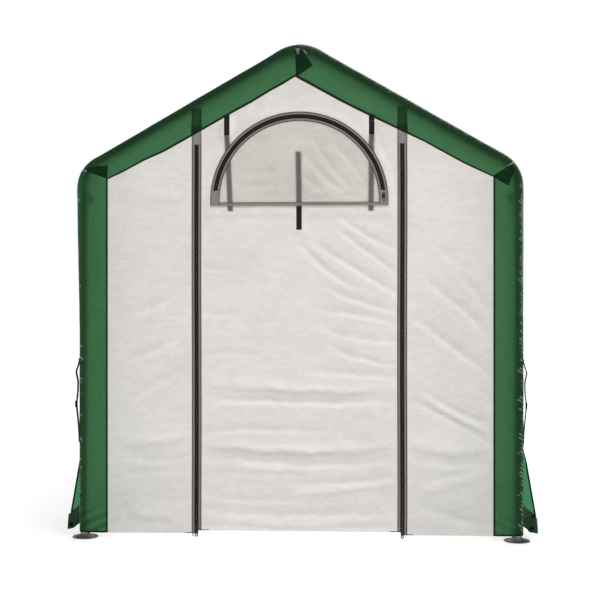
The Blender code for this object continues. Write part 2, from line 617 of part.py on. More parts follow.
def curtain_section():
    """Centreline of a curtain's cloth and its pocket, as (x, z), down from its top edge."""
    radius = PIPE_DIAMETER / 2 + POCKET_PLAY + CLOTH / 2
    start = Vector((HALF_WIDTH + SIDE_OUT + GAP + CLOTH / 2, FLARE_TOP))
    centre = Vector((PIPE_SPREAD / 2, PIPE_HEIGHT))
    outer_turn = touching_turn(centre, radius, start, -1)
    foot = centre + radius * Vector((math.cos(outer_turn), math.sin(outer_turn)))
    seam_share = (FLARE_TOP - PIPE_HEIGHT - POCKET_HEIGHT) / (FLARE_TOP - foot.y)
    seam = start.lerp(foot, seam_share) - Vector((CLOTH + 2 * GAP, 0.0))
    inner_turn = touching_turn(centre, radius, seam, 1) - 2 * math.pi
    path = [(start.x, CURTAIN_TOP), tuple(start)]
    path += [tuple(start.lerp(foot, share)) for share in (0.35, 0.7)]
    path += [(x, z) for x, z, _ in arc(centre, radius, outer_turn, inner_turn, BEND_STEPS)]
    path.append(tuple(seam))
    return path


def make_curtain(side, sign, film, steel):
    """A side curtain that hangs outside the legs, and the pipe in its bottom pocket."""
    half = CURTAIN_LENGTH / 2
    pipe_end = half - PIPE_SETBACK
    outline = thickened(curtain_section(), CLOTH)
    rings = [[Vector((sign * point.x, y, point.y)) for point in outline] for y in (-half, half)]
    add_object(f"{side}_curtain", finished_mesh(f"{side}_curtain", lofted(rings), film, sharp_degrees=60.0))
    parts = [(-pipe_end, PIPE_DIAMETER / 2), (pipe_end, PIPE_DIAMETER / 2)]
    pipe = finished_mesh(f"{side}_curtain_pipe", straight_tube(parts, PIPE_WALL), steel)
    add_object(f"{side}_curtain_pipe", pipe, (sign * PIPE_SPREAD / 2, 0.0, PIPE_HEIGHT))


def make_side_strap(side, sign, webbing):
    """Webbing strap on the outer face of a front leg, slack between its stitched ends."""
    seat = HALF_WIDTH + SIDE_OUT + GAP + SIDE_STRAP_THICKNESS / 2
    bows = [(0.162, 1.0), (0.362, 0.32), (0.541, 0.76)]
    floor = SIDE_STRAP_TOP - SIDE_STRAP_LENGTH
    path = [(seat, SIDE_STRAP_TOP), (seat, SIDE_STRAP_TOP - SIDE_STRAP_STITCH)]
    path += [(seat + SIDE_STRAP_SLACK * bow, SIDE_STRAP_TOP - SIDE_STRAP_LENGTH * drop) for drop, bow in bows]
    path += [(seat, floor + SIDE_STRAP_STITCH), (seat, floor)]
    outline = thickened(path, SIDE_STRAP_THICKNESS)
    rings = [[Vector((sign * point.x, -END_PLANE + shift, point.y)) for point in outline]
             for shift in (-SIDE_STRAP_WIDTH / 2, SIDE_STRAP_WIDTH / 2)]
    add_object(f"{side}_side_strap", finished_mesh(f"{side}_side_strap", lofted(rings), webbing))


def main():
    """Build the greenhouse from the ground up."""
    clear_scene()
    steel = finish("galvanised_steel", (0.52, 0.54, 0.56), 0.42, 0.9)
    film = finish("translucent_film", (0.74, 0.71, 0.68), 0.45)
    green = finish("green_cloth", (0.045, 0.145, 0.062), 0.5)
    woven = finish("grey_zip_tape", (0.24, 0.22, 0.20), 0.8)
    metal = finish("dark_zip_metal", (0.05, 0.045, 0.04), 0.4, 0.7)
    webbing = finish("black_webbing", (0.02, 0.017, 0.015), 0.8)
    mesh_cloth = finish("insect_screen", (0.42, 0.39, 0.35), 0.8)

    make_frame(steel)
    make_main_cover(film)
    make_trim("front_trim", FRONT, green)
    make_trim("rear_trim", REAR, green)
    make_end_walls(film)
    make_door(film, woven, webbing, mesh_cloth, metal)
    make_vent("rear_", REAR, None, film, woven, mesh_cloth, metal)
    for side, sign in SIDES.items():
        make_curtain(side, sign, film, steel)
        make_side_strap(side, sign, webbing)


main()
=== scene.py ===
"""Dressed model of a walk-in greenhouse: fitted covers, zips, vents and curtains over its steel frame.

Metres, Z up. X runs across the front and Y from the front to the back. The origin is on the ground
under the middle. Depths are measured outwards from the plane of an end rib, as in the frame's source.
"""
import logging
import math
from contextlib import contextmanager
from dataclasses import dataclass
from enum import Enum
from typing import Iterator, Optional, Sequence

import bmesh
import bpy
import numpy as np
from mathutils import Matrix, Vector


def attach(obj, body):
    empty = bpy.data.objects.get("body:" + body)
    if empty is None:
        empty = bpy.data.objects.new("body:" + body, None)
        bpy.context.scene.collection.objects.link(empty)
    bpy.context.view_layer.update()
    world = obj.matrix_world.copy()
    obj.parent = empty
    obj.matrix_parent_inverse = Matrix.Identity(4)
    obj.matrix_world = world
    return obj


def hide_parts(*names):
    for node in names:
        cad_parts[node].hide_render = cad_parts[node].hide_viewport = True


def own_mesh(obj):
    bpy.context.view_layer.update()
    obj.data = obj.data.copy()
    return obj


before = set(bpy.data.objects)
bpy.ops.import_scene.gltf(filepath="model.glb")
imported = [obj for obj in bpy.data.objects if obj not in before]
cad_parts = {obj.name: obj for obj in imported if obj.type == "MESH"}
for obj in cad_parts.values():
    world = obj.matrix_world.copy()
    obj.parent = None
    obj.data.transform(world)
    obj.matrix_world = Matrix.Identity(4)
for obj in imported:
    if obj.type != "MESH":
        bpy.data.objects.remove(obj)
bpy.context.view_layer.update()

log = logging.getLogger("greenhouse")
Pair = tuple[float, float]
Triple = tuple[float, float, float]
Array = np.ndarray
Piece = bpy.types.Object
Material = bpy.types.Material
Socket = bpy.types.NodeSocket


class End(Enum):
    """The two ends of the greenhouse; the value is the direction that points out of it along Y."""

    FRONT = -1
    REAR = 1

    @property
    def word(self) -> str:
        """The end's name in node names."""
        return self.name.lower()


class Side(Enum):
    """Left and right as seen from the front; the value is the sign of X."""

    LEFT = -1
    RIGHT = 1

    @property
    def word(self) -> str:
        """The side's name in node names."""
        return self.name.lower()


class Held(Enum):
    """How a sheet of cloth is held."""

    HUNG = "hung"
    STRETCHED = "stretched"


@dataclass(frozen=True)
class RibLine:
    """The line that the tubes of one rib follow, and the lines parallel to it.

    Attributes:
        half_width: from the middle to a leg's centreline.
        eave_height: where the centrelines of leg and rafter would cross.
        pitch: slope of the roof.
        eave_bend, peak_bend: centreline radii of the bends.
        end_plane: from the middle of the floor to an end rib.
    """

    half_width: float = 0.870
    eave_height: float = 1.487
    pitch: float = math.radians(29.8)
    eave_bend: float = 0.120
    peak_bend: float = 0.166
    end_plane: float = 1.196

    @property
    def normal(self) -> float:
        """Angle of the direction square to the right-hand rafter."""
        return math.pi / 2 - self.pitch

    @property
    def eave_centre(self) -> Pair:
        """Centre of the right-hand eave's bend."""
        return self.half_width - self.eave_bend, self.eave_height - self.eave_bend * math.tan(self.normal / 2)

    @property
    def peak_centre(self) -> float:
        """Height of the centre of the peak's bend."""
        return self.eave_height + self.half_width * math.tan(self.pitch) - self.peak_bend / math.cos(self.pitch)

    def right_half(self, floor: float, leg: int, eave: int, rafter: int, peak: int) -> Array:
        """Stations along the rib from the right foot to the peak.

        Args:
            floor: height where the line starts.
            leg, eave, rafter, peak: pieces that each stretch is cut into.

        Returns:
            Rows of x, z, the angle that points outwards, and how far the station is turned from the
            nearer straight stretch, which squares a bend's inner corner.
        """
        ex, ez = self.eave_centre
        turn = self.normal * np.arange(eave + 1) / eave
        corner = stacked(ex + self.eave_bend * np.cos(turn), ez + self.eave_bend * np.sin(turn), turn,
                         np.minimum(turn, self.normal - turn))
        top = self.normal + self.pitch * np.arange(peak + 1) / peak
        bend = stacked(self.peak_bend * np.cos(top), self.peak_centre + self.peak_bend * np.sin(top), top,
                       top - self.normal)
        upright = stacked(self.half_width, floor + (ez - floor) * np.arange(leg) / leg, 0.0, 0.0)
        share = np.arange(1, rafter)[:, None] / rafter
        rafter_line = corner[-1] + (bend[0] - corner[-1]) * share
        return np.concatenate([upright, corner, rafter_line, bend])

    def stations(self, floor: float, leg: int, eave: int, rafter: int, peak: int) -> Array:
        """Stations along the whole rib, from the right foot to the left one.

        Args:
            floor, leg, eave, rafter, peak: as for the right half.

        Returns:
            Rows as for the right half.
        """
        right = self.right_half(floor, leg, eave, rafter, peak)
        return np.concatenate([right, right[-2::-1] * (-1, 1, -1, 1) + (0.0, 0.0, math.pi, 0.0)])

    def half_width_at(self, height: Array) -> Array:
        """Half the width between the centrelines at a height, on the leg, the rafter or the peak."""
        line = self.right_half(0.0, 4, 24, 8, 24)
        return np.interp(height, line[:, 1], line[:, 0])


def stacked(*parts: object) -> Array:
    """Numbers and arrays that broadcast to one shape, stacked along a new last axis."""
    return np.stack(np.broadcast_arrays(*parts), axis=-1)


RIB = RibLine()
SLOPE = 0.57269  # fall of the roof for each metre across
FLOOR_HEM = 0.022
WALL_FRONT, TRIM_FRONT, TAPE_FRONT = 0.01895, 0.02045, 0.02025
SIDE_OUT = 0.01895
TRIM_EDGE = SIDE_OUT - 0.115
DOOR_TOP, DOOR_SHOULDER, DOOR_FLOOR = 1.736, 1.6206, 0.034
DOOR_EDGE, DOOR_TOP_EDGE, ZIP_LINE = 0.405, 0.2035, 0.413
VENT_CENTRE, VENT_SEAM, VENT_RADIUS = 1.360, 1.345, 0.339
INSIDE = Vector((0.0, 0.0, 0.9))  # a sheet's normals point away from this point
FACING_FRONT = (math.pi / 2, 0.0, 0.0)


def depth_of(end: End, depth: float) -> float:
    """Y of a plane at a depth outwards from an end rib."""
    return end.value * (RIB.end_plane + depth)


class Nodes:
    """Short ways to add and join shader nodes in one tree."""

    def __init__(self, tree: bpy.types.NodeTree) -> None:
        """Keep the tree that the nodes go into."""
        self.tree = tree

    def add(self, kind: str, feeds: Optional[dict[object, object]] = None, **settings: object) -> bpy.types.Node:
        """Add a node.

        Args:
            kind: what follows ShaderNode in its type, or the whole type of another kind of node.
            feeds: values or sockets for its inputs, by name or number.
            settings: its properties.

        Returns:
            The node.
        """
        node = self.tree.nodes.new(kind if kind.startswith("NodeGroup") else f"ShaderNode{kind}")
        for key, value in settings.items():
            setattr(node, key, value)
        for key, value in (feeds or {}).items():
            self.feed(node.inputs[key], value)
        return node

    def feed(self, socket: Socket, value: object) -> None:
        """Join a socket to an input, or write a plain value into it."""
        if isinstance(value, Socket):
            self.tree.links.new(value, socket)
        else:
            socket.default_value = value

    def maths(self, operation: str, *values: object, clamp: bool = False) -> Socket:
        """A Math node with its inputs set or joined."""
        return self.add("Math", dict(enumerate(values)), operation=operation, use_clamp=clamp).outputs[0]

    def colour_mix(self, share: object, low: object, high: object, blend: str = "MIX") -> Socket:
        """A colour mix between low and high."""
        low, high = (side if isinstance(side, Socket) else (*side, 1.0) for side in (low, high))
        return self.add("Mix", {0: share, 6: low, 7: high}, data_type="RGBA", blend_type=blend).outputs[2]

    def toned(self, colour: object, tone: Socket) -> Socket:
        """A colour times a grey tone."""
        grey = self.add("CombineXYZ", {0: tone, 1: tone, 2: tone}).outputs[0]
        return self.colour_mix(1.0, colour, grey, "MULTIPLY")

    def band(self, value: object, middle: object, half: object, soft: float) -> Socket:
        """1 within half of middle, falling to 0 over the soft width."""
        over = self.maths("SUBTRACT", self.maths("ABSOLUTE", self.maths("SUBTRACT", value, middle)), half)
        return self.maths("SUBTRACT", 1.0, self.maths("DIVIDE", over, soft), clamp=True)

    def waves(self, value: object, rate: float) -> Socket:
        """Humps from 0 to 1 along a value: the sine of value times rate, without its sign."""
        return self.maths("ABSOLUTE", self.maths("SINE", self.maths("MULTIPLY", value, rate)))

    def group(self, tree: bpy.types.NodeTree, **values: object) -> bpy.types.Node:
        """Place a shader group with its inputs set or joined by name."""
        feeds = {key.title(): value for key, value in values.items()}
        return self.add("Group", feeds, node_tree=tree)

    def mask(self, name: str) -> Socket:
        """One of the cloth grid's attributes."""
        return self.add("Attribute", attribute_name=name).outputs["Fac"]

    def split(self, vector: Socket) -> bpy.types.NodeOutputs:
        """The X, Y and Z of a vector."""
        return self.add("SeparateXYZ", {0: vector}).outputs

    def bump(self, height: object, distance: float = 1.0, strength: float = 1.0) -> Socket:
        """A normal bent by a height."""
        return self.add("Bump", {"Height": height, "Distance": distance, "Strength": strength}).outputs[0]

    def directly_seen(self) -> Socket:
        """1 for rays from the camera, also by way of a mirror or a clear surface."""
        path = self.add("LightPath").outputs
        other = self.maths("MAXIMUM", path["Is Glossy Ray"], path["Is Transmission Ray"])
        return self.maths("MAXIMUM", path["Is Camera Ray"], other)


def new_material(name: str) -> tuple[Material, Nodes, bpy.types.NodeInputs]:
    """Start a material.

    Args:
        name: the material's name.

    Returns:
        The material, its node helper and the inputs of its Principled shader.
    """
    material = bpy.data.materials.new(name)
    material.use_nodes = True
    return material, Nodes(material.node_tree), material.node_tree.nodes["Principled BSDF"].inputs


class ShaderGroups:
    """The shader groups that several finishes share, each built once."""

    def __init__(self) -> None:
        """Build every group."""
        self.weave = self._weave()
        self.crumple = self._crumple()
        self.stitches = self._stitches()
        self.grime = self._grime()
        self.pucker = self._pucker()

    @staticmethod
    def _tree(name: str, outputs: Sequence[str], **inputs: Optional[float]
              ) -> tuple[Nodes, bpy.types.NodeOutputs, bpy.types.NodeInputs]:
        """A new group with its sockets.

        Args:
            name: the group's name.
            outputs: names of its outputs, all numbers.
            inputs: its inputs with their defaults; None makes a vector.

        Returns:
            The node helper, the group's inputs to read from and its outputs to feed.
        """
        tree = bpy.data.node_groups.new(name, "ShaderNodeTree")
        for label, value in inputs.items():
            kind = "NodeSocketVector" if value is None else "NodeSocketFloat"
            socket = tree.interface.new_socket(name=label, in_out="INPUT", socket_type=kind)
            if value is not None:
                socket.default_value = value
        for label in outputs:
            tree.interface.new_socket(name=label, in_out="OUTPUT", socket_type="NodeSocketFloat")
        nodes = Nodes(tree)
        return nodes, nodes.add("NodeGroupInput").outputs, nodes.add("NodeGroupOutput").inputs

    def _weave(self) -> bpy.types.NodeTree:
        """Plain weave of flat threads: a height for bump, and a mask of the gaps between threads."""
        nodes, start, end = self._tree("weave", ["Height", "Gaps"], Vector=None, Threads=400.0)
        scaled = nodes.add("VectorMath", {0: start["Vector"], "Scale": start["Threads"]}, operation="SCALE").outputs[0]
        parts = nodes.split(scaled)
        across, along = nodes.waves(parts[0], math.pi), nodes.waves(parts[1], math.pi)
        checker = nodes.add("TexChecker", {"Vector": scaled, "Scale": 1.0})
        pick = nodes.add("Mix", {0: checker.outputs["Fac"], 2: across, 3: along}, data_type="FLOAT")
        nodes.feed(end["Height"], nodes.maths("POWER", pick.outputs[0], 0.5))
        low = nodes.maths("MULTIPLY", nodes.maths("MINIMUM", across, along), 3.0)
        nodes.feed(end["Gaps"], nodes.maths("SUBTRACT", 1.0, low, clamp=True))
        return nodes.tree

    def _crumple(self) -> bpy.types.NodeTree:
        """Sharp little creases in a stiff film, running mostly one way."""
        nodes, start, end = self._tree("crumple", ["Height"], Vector=None, Scale=9.0, Slant=0.6)
        turn = nodes.add("CombineXYZ", {2: start["Slant"]}).outputs[0]
        mapping = nodes.add("Mapping", {"Vector": start["Vector"], "Scale": (1.0, 2.6, 1.0), "Rotation": turn})
        broad = nodes.add("TexNoise", {"Vector": mapping.outputs[0], "Scale": start["Scale"], "Detail": 3.0,
                                       "Distortion": 0.8}, noise_dimensions="3D")
        ridge = nodes.maths("ABSOLUTE", nodes.maths("SUBTRACT", broad.outputs["Fac"], 0.5))
        sharp = nodes.maths("SUBTRACT", 1.0, nodes.maths("MULTIPLY", ridge, 7.0), clamp=True)
        nodes.feed(end["Height"], nodes.maths("POWER", sharp, 2.0))
        return nodes.tree

    def _stitches(self) -> bpy.types.NodeTree:
        """A row of stitches at a distance from a cloth's edge."""
        nodes, start, end = self._tree("stitches", ["Thread"], Edge=0.0, Along=0.0, Line=0.006, Pitch=0.0045)
        step = nodes.maths("FRACT", nodes.maths("DIVIDE", start["Along"], start["Pitch"]))
        row = nodes.band(start["Edge"], start["Line"], 0.0004, 0.0003)
        nodes.feed(end["Thread"], nodes.maths("MULTIPLY", row, nodes.maths("LESS_THAN", step, 0.68)))
        return nodes.tree

    def _grime(self) -> bpy.types.NodeTree:
        """Uneven tone of a used surface, from 0 to 1, and fine specks."""
        nodes, start, end = self._tree("grime", ["Tone", "Specks"], Vector=None, Scale=4.0)
        for label, factor, detail in (("Tone", 1.0, 5.0), ("Specks", 30.0, 2.0)):
            scale = nodes.maths("MULTIPLY", start["Scale"], factor)
            noise = nodes.add("TexNoise", {"Vector": start["Vector"], "Scale": scale, "Detail": detail})
            nodes.feed(end[label], noise.outputs["Fac"])
        return nodes.tree

    def _pucker(self) -> bpy.types.NodeTree:
        """A seam that pulls its cloth into slanting puckers, with painted highlights on the puckers' crests near it."""
        nodes, start, end = self._tree("puckered_seam", ["Past", "Holes", "Folds"], Across=0.1, Along=0.0)
        across, along = start["Across"], start["Along"]
        nodes.feed(end["Past"], nodes.maths("LESS_THAN", across, 0.0))
        slanted = nodes.maths("MULTIPLY_ADD", across, -1.1, along)
        line = nodes.add("CombineXYZ", {0: along}).outputs[0]
        uneven = nodes.add("TexNoise", {"Vector": line, "Scale": 34.0, "Detail": 3.0}).outputs["Fac"]
        step = nodes.maths("FRACT", nodes.maths("MULTIPLY_ADD", uneven, 1.4, nodes.maths("DIVIDE", slanted, 0.0165)))
        wave = nodes.maths("SINE", nodes.maths("MULTIPLY", step, math.pi))
        near = nodes.band(across, 0.0, nodes.maths("MULTIPLY_ADD", uneven, 0.085, -0.0325), 0.0020)
        lit_crest = nodes.maths("GREATER_THAN", wave, 0.88)
        nodes.feed(end["Holes"], nodes.maths("MULTIPLY", near, lit_crest))
        nodes.feed(end["Folds"], nodes.maths("MULTIPLY", nodes.band(across, 0.0, 0.006, 0.012), wave))
        return nodes.tree


GROUPS = ShaderGroups()


@dataclass(frozen=True)
class ClothFinish:
    """A woven or filmy cloth that lets part of the light through.

    Attributes:
        name: the material's name.
        colour: of the face in plain light.
        through: colour of the light that comes through.
        share: part of the light that goes through rather than back.
        threads: threads per metre.
        relief: height of the weave.
        creases, slant: height and direction of the small creases.
        hem, hem_width: colour of the doubled hem, and how far it reaches from the free edge.
        border, border_through, border_width: the same for a coloured border, with its colour in light.
        beyond, beyond_through: colours of the other cloth past a puckered seam, where inner is below 0.
        thread: colour of the hem's stitches.
        pucker_highlight: colour of the painted highlights on the crests of the puckered seam.
        roughness, shine: of the surface.
        openness: share of the light that passes between the threads unbent.
    """

    name: str
    colour: Triple
    through: Triple
    share: float
    threads: float = 420.0
    relief: float = 0.00012
    creases: float = 0.0012
    slant: float = 0.6
    hem: Optional[Triple] = None
    hem_width: float = 0.008
    border: Optional[Triple] = None
    border_through: Triple = (0.045, 0.225, 0.105)
    border_width: float = 0.13
    beyond: Optional[Triple] = None
    beyond_through: Triple = (0.825, 0.798, 0.792)
    thread: Triple = (0.05, 0.12, 0.06)
    pucker_highlight: Triple = (0.66, 0.78, 0.69)
    roughness: float = 0.45
    shine: float = 0.4
    openness: float = 0.0

    def build(self) -> Material:
        """Build the material.

        Returns:
            The material, which reads the UV map ClothUV and the attributes edge, inner and shade.
        """
        material, nodes, shader = new_material(self.name)
        uv = nodes.add("UVMap", uv_map="ClothUV").outputs[0]
        edge, along = nodes.mask("edge"), nodes.split(uv)[0]
        weave = nodes.group(GROUPS.weave, vector=uv, threads=self.threads).outputs
        crumple = nodes.group(GROUPS.crumple, vector=uv, slant=self.slant).outputs["Height"]
        grime = nodes.group(GROUPS.grime, vector=uv).outputs
        tone = nodes.maths("MULTIPLY_ADD", crumple, 0.06, nodes.maths("MULTIPLY_ADD", grime["Tone"], 0.16, 0.90))
        # Painted light and shade: the grid's shade attribute lightens or darkens the tone.
        tone = nodes.maths("ADD", tone, nodes.mask("shade"))
        colour, through, relief = self.colour, self.through, 0.0
        if self.border is not None:
            rim = nodes.maths("LESS_THAN", edge, self.border_width)
            colour = nodes.colour_mix(rim, colour, self.border)
            through = nodes.colour_mix(rim, through, self.border_through)
        if self.hem is not None:
            folded = nodes.band(edge, 0.0, self.hem_width, 0.0006)
            through = nodes.colour_mix(folded, through, tuple(0.5 * part for part in self.hem))
            row = nodes.group(GROUPS.stitches, edge=edge, along=along, line=self.hem_width * 0.72).outputs["Thread"]
            colour = nodes.colour_mix(row, nodes.colour_mix(folded, colour, self.hem), self.thread)
            relief = nodes.maths("MULTIPLY_ADD", folded, 3.0, row)
        if self.beyond is not None:
            seam = nodes.group(GROUPS.pucker, across=nodes.mask("inner"), along=along).outputs
            colour = nodes.colour_mix(seam["Past"], colour, self.beyond)
            through = nodes.colour_mix(seam["Past"], through, self.beyond_through)
            # Painted highlights on the puckers' crests, in the surface colour and in the light that comes through.
            colour = nodes.colour_mix(seam["Holes"], colour, self.pucker_highlight)
            through = nodes.colour_mix(seam["Holes"], through, self.pucker_highlight)
            relief = nodes.maths("MULTIPLY_ADD", seam["Folds"], 2.4, relief)
        nodes.feed(shader["Base Color"], nodes.toned(colour, tone))
        nodes.feed(shader["Specular IOR Level"], self.shine)
        nodes.feed(shader["Roughness"], nodes.maths("MULTIPLY_ADD", grime["Specks"], 0.2, self.roughness - 0.1))
        height = nodes.maths("MULTIPLY", weave["Height"], self.relief)
        height = nodes.maths("MULTIPLY_ADD", crumple, self.creases, height)
        normal = nodes.bump(nodes.maths("MULTIPLY_ADD", relief, 0.0003, height), strength=0.6)
        nodes.feed(shader["Normal"], normal)
        if self.openness > 0.0:
            gaps = nodes.maths("MULTIPLY", weave["Gaps"], self.openness)
            nodes.feed(shader["Alpha"], nodes.maths("SUBTRACT", 1.0, gaps))
        glow = nodes.add("BsdfTranslucent", {"Color": nodes.toned(through, tone), "Normal": normal})
        tree = material.node_tree.nodes
        both = nodes.add("MixShader", {0: self.share, 1: tree["Principled BSDF"].outputs[0], 2: glow.outputs[0]})
        nodes.feed(tree["Material Output"].inputs["Surface"], both.outputs[0])
        return material


@dataclass(frozen=True)
class WebbingFinish:
    """A dense narrow-woven tape or strap, with ribs across and darker edges, which are partly stitching and partly
    painted shadow.

    Attributes:
        name: the material's name.
        colour, dark_edge: of the weave and of both edges.
        edge_width: width of a dark edge.
        core, core_width: colour and width of a band on the inner edge, which carries a zip's coil.
        rib: spacing of the ribs.
    """

    name: str
    colour: Triple
    dark_edge: Triple
    edge_width: float
    core: Optional[Triple] = None
    core_width: float = 0.0080
    rib: float = 0.0016

    def build(self) -> Material:
        """Build the material.

        Returns:
            The material, which reads the UV map ClothUV: u across from the inner edge, v along.
        """
        material, nodes, shader = new_material(self.name)
        uv = nodes.add("UVMap", uv_map="ClothUV").outputs[0]
        weave = nodes.group(GROUPS.weave, vector=uv, threads=900.0).outputs["Height"]
        ribs = nodes.waves(nodes.split(uv)[1], math.pi / self.rib)
        grime = nodes.group(GROUPS.grime, vector=uv, scale=9.0).outputs
        colour: object = self.colour
        if self.core is not None:
            colour = nodes.colour_mix(nodes.band(nodes.mask("inner"), 0.0, self.core_width, 0.0006), colour, self.core)
        # Painted shadow along the tape's edges, together with the stitching there.
        colour = nodes.colour_mix(nodes.band(nodes.mask("edge"), 0.0, self.edge_width, 0.0006), colour, self.dark_edge)
        tone = nodes.maths("ADD", nodes.maths("MULTIPLY_ADD", grime["Tone"], 0.35, 0.66),
                           nodes.maths("MULTIPLY", ribs, 0.16))
        nodes.feed(shader["Base Color"], nodes.toned(colour, tone))
        nodes.feed(shader["Specular IOR Level"], 0.2)
        nodes.feed(shader["Roughness"], nodes.maths("MULTIPLY_ADD", grime["Specks"], 0.2, 0.75))
        height = nodes.maths("MULTIPLY_ADD", weave, 0.00015, nodes.maths("MULTIPLY", ribs, 0.00035))
        nodes.feed(shader["Normal"], nodes.bump(height))
        return material


@dataclass(frozen=True)
class MetalFinish:
    """Zinc-coated or plated metal, or moulded plastic, with spangle, fine scratches and dulled patches.

    Attributes:
        name: the material's name.
        bright, dull: colours of the clean surface and of the weathered patches.
        roughness: of the clean surface.
        spangle: size of the zinc crystals, as a texture scale.
        metallic: how metallic the surface is.
    """

    name: str
    bright: Triple
    dull: Triple
    roughness: float
    spangle: float
    metallic: float

    def build(self) -> Material:
        """Build the material.

        Returns:
            The material, which reads Object coordinates.
        """
        material, nodes, shader = new_material(self.name)
        place = nodes.add("TexCoord").outputs["Object"]
        crystals = nodes.add("TexVoronoi", {"Vector": place, "Scale": self.spangle}, feature="F1")
        parts = nodes.split(crystals.outputs["Color"])
        grime = nodes.group(GROUPS.grime, vector=place, scale=14.0).outputs
        worn = nodes.maths("MULTIPLY_ADD", parts[0], 0.45, nodes.maths("MULTIPLY", grime["Tone"], 0.55))
        nodes.feed(shader["Base Color"], nodes.colour_mix(worn, self.bright, self.dull))
        nodes.feed(shader["Roughness"], nodes.maths("MULTIPLY_ADD", grime["Tone"], 0.3, self.roughness - 0.1))
        nodes.feed(shader["Metallic"], self.metallic)
        nodes.feed(shader["Specular IOR Level"], 0.5 if self.metallic > 0.0 else 0.12)
        uneven = nodes.maths("ADD", parts[1], grime["Specks"])
        nodes.feed(shader["Normal"], nodes.bump(uneven, 0.0004, 0.25))
        return material


WHITE, LIT_WHITE, BRIGHT_WHITE = (0.80, 0.775, 0.755), (0.825, 0.798, 0.792), (0.94, 0.915, 0.895)
GREEN, DARK_GREEN = (0.021, 0.056, 0.026), (0.016, 0.046, 0.020)


class Finishes:
    """Every material of the greenhouse, built once."""

    panel = ClothFinish("white_woven_film", WHITE, LIT_WHITE, 0.87, shine=0.3).build()
    roof = ClothFinish("white_roof_film", WHITE, BRIGHT_WHITE, 0.82, slant=1.2).build()
    flap = ClothFinish("white_flap_film", WHITE, (0.97, 0.95, 0.925), 0.86, shine=0.3, slant=-0.7,
                       hem=(0.62, 0.59, 0.56), hem_width=0.010, thread=(0.5, 0.48, 0.45)).build()
    trim = ClothFinish("green_band_cloth", GREEN, (0.108, 0.350, 0.148), 0.65, 360.0, 0.00025, 0.0007,
                       hem=DARK_GREEN, beyond=WHITE, beyond_through=LIT_WHITE, roughness=0.6, shine=0.2).build()
    mitre = ClothFinish("doubled_green_cloth", (0.008, 0.028, 0.011), (0.010, 0.034, 0.014), 0.2, 360.0, 0.00025,
                        0.0006, roughness=0.7, shine=0.05).build()
    curtain = ClothFinish("curtain_film", WHITE, BRIGHT_WHITE, 0.78, slant=0.2, border=GREEN, hem=DARK_GREEN,
                          hem_width=0.010, roughness=0.6, shine=0.2).build()
    pocket = ClothFinish("green_pocket_cloth", (0.020, 0.066, 0.028), (0.02, 0.09, 0.035), 0.35, 360.0, 0.00025,
                         hem=DARK_GREEN, hem_width=0.006, roughness=0.65, shine=0.12).build()
    screen = ClothFinish("insect_screen_cloth", (0.50, 0.485, 0.46), (0.72, 0.70, 0.67), 0.3, 640.0, 0.0003, 0.0002,
                         roughness=0.7, openness=0.75).build()
    tape = WebbingFinish("grey_zip_tape", (0.270, 0.255, 0.238), (0.080, 0.074, 0.068), 0.0034,
                         core=(0.014, 0.012, 0.010)).build()
    plain_tape = WebbingFinish("grey_plain_tape", (0.315, 0.298, 0.278), (0.110, 0.102, 0.094), 0.0030).build()
    seam_tape = WebbingFinish("grey_seam_tape", (0.30, 0.285, 0.265), (0.13, 0.12, 0.11), 0.0008).build()
    head_tape = WebbingFinish("doubled_head_tape", (0.56, 0.54, 0.50), (0.050, 0.046, 0.042), 0.0062).build()
    coil = MetalFinish("zip_coil", (0.050, 0.045, 0.040), (0.016, 0.014, 0.012), 0.7, 400.0, 0.0).build()
    webbing = WebbingFinish("black_webbing", (0.016, 0.013, 0.011), (0.009, 0.008, 0.007), 0.0015).build()
    slider = MetalFinish("dark_slider_metal", (0.045, 0.041, 0.038), (0.016, 0.015, 0.014), 0.42, 300.0, 0.7).build()
    plastic = MetalFinish("black_moulded_plastic", (0.030, 0.028, 0.026), (0.018, 0.017, 0.016), 0.42, 500.0,
                          0.0).build()
    steel = MetalFinish("galvanised_tube", (0.62, 0.63, 0.64), (0.42, 0.43, 0.44), 0.38, 160.0, 0.95).build()
    foot = MetalFinish("galvanised_foot", (0.21, 0.215, 0.205), (0.060, 0.060, 0.056), 0.40, 240.0, 0.9).build()


@dataclass(frozen=True)
class Fold:
    """One soft crease in a hung sheet.

    Attributes:
        x, z: its first end in the sheet's own plane.
        end_x, end_z: its other end.
        width: half its width.
        height: how far it stands out of the sheet; negative for a hollow.
    """

    x: float
    z: float
    end_x: float
    end_z: float
    width: float
    height: float

    def lift(self, x: Array, z: Array) -> Array:
        """Height of the crease over points of the sheet, steeper on one side and a little wavy.

        Args:
            x, z: the points.

        Returns:
            The height at each point.
        """
        ax, az = self.end_x - self.x, self.end_z - self.z
        length = math.hypot(ax, az)
        share = np.clip(((x - self.x) * ax + (z - self.z) * az) / length ** 2, 0.0, 1.0)
        off = ((x - self.x) * -az + (z - self.z) * ax) / length
        arch = np.sin(math.pi * share)
        off = off - 0.05 * min(length, 0.3) * arch * math.sin(37.0 * length)
        off = off - 0.55 * self.width * ripple(5.0 * x, 7.0 * z, 11.0 * length)
        steep = np.where(off < 0, 0.50, 1.30) * self.width
        return self.height * hump(off, steep) * arch ** 0.7


Folds = tuple[Fold, ...]


def creases(*rows: Sequence[float]) -> Folds:
    """Folds from rows of their numbers."""
    return tuple(Fold(*row) for row in rows)


def lifted(folds: Folds, x: Array, z: Array) -> Array:
    """Sum of all creases over points of a sheet."""
    return sum((fold.lift(x, z) for fold in folds), np.zeros_like(x))


def ripple(x: Array, z: Array, seed: float) -> Array:
    """A slow uneven wave, the same at every run.

    Args:
        x, z: the points.
        seed: another number gives another wave.

    Returns:
        The wave at each point, between -1 and 1.
    """
    total: object = 0.0
    for index in range(1, 6):
        turn = seed + 1.7 * index
        pace = 3.1 * index ** 1.15
        total = total + np.sin(pace * (x * math.cos(turn) + z * math.sin(turn)) + 2.3 * turn) / index
    return total / 2.3


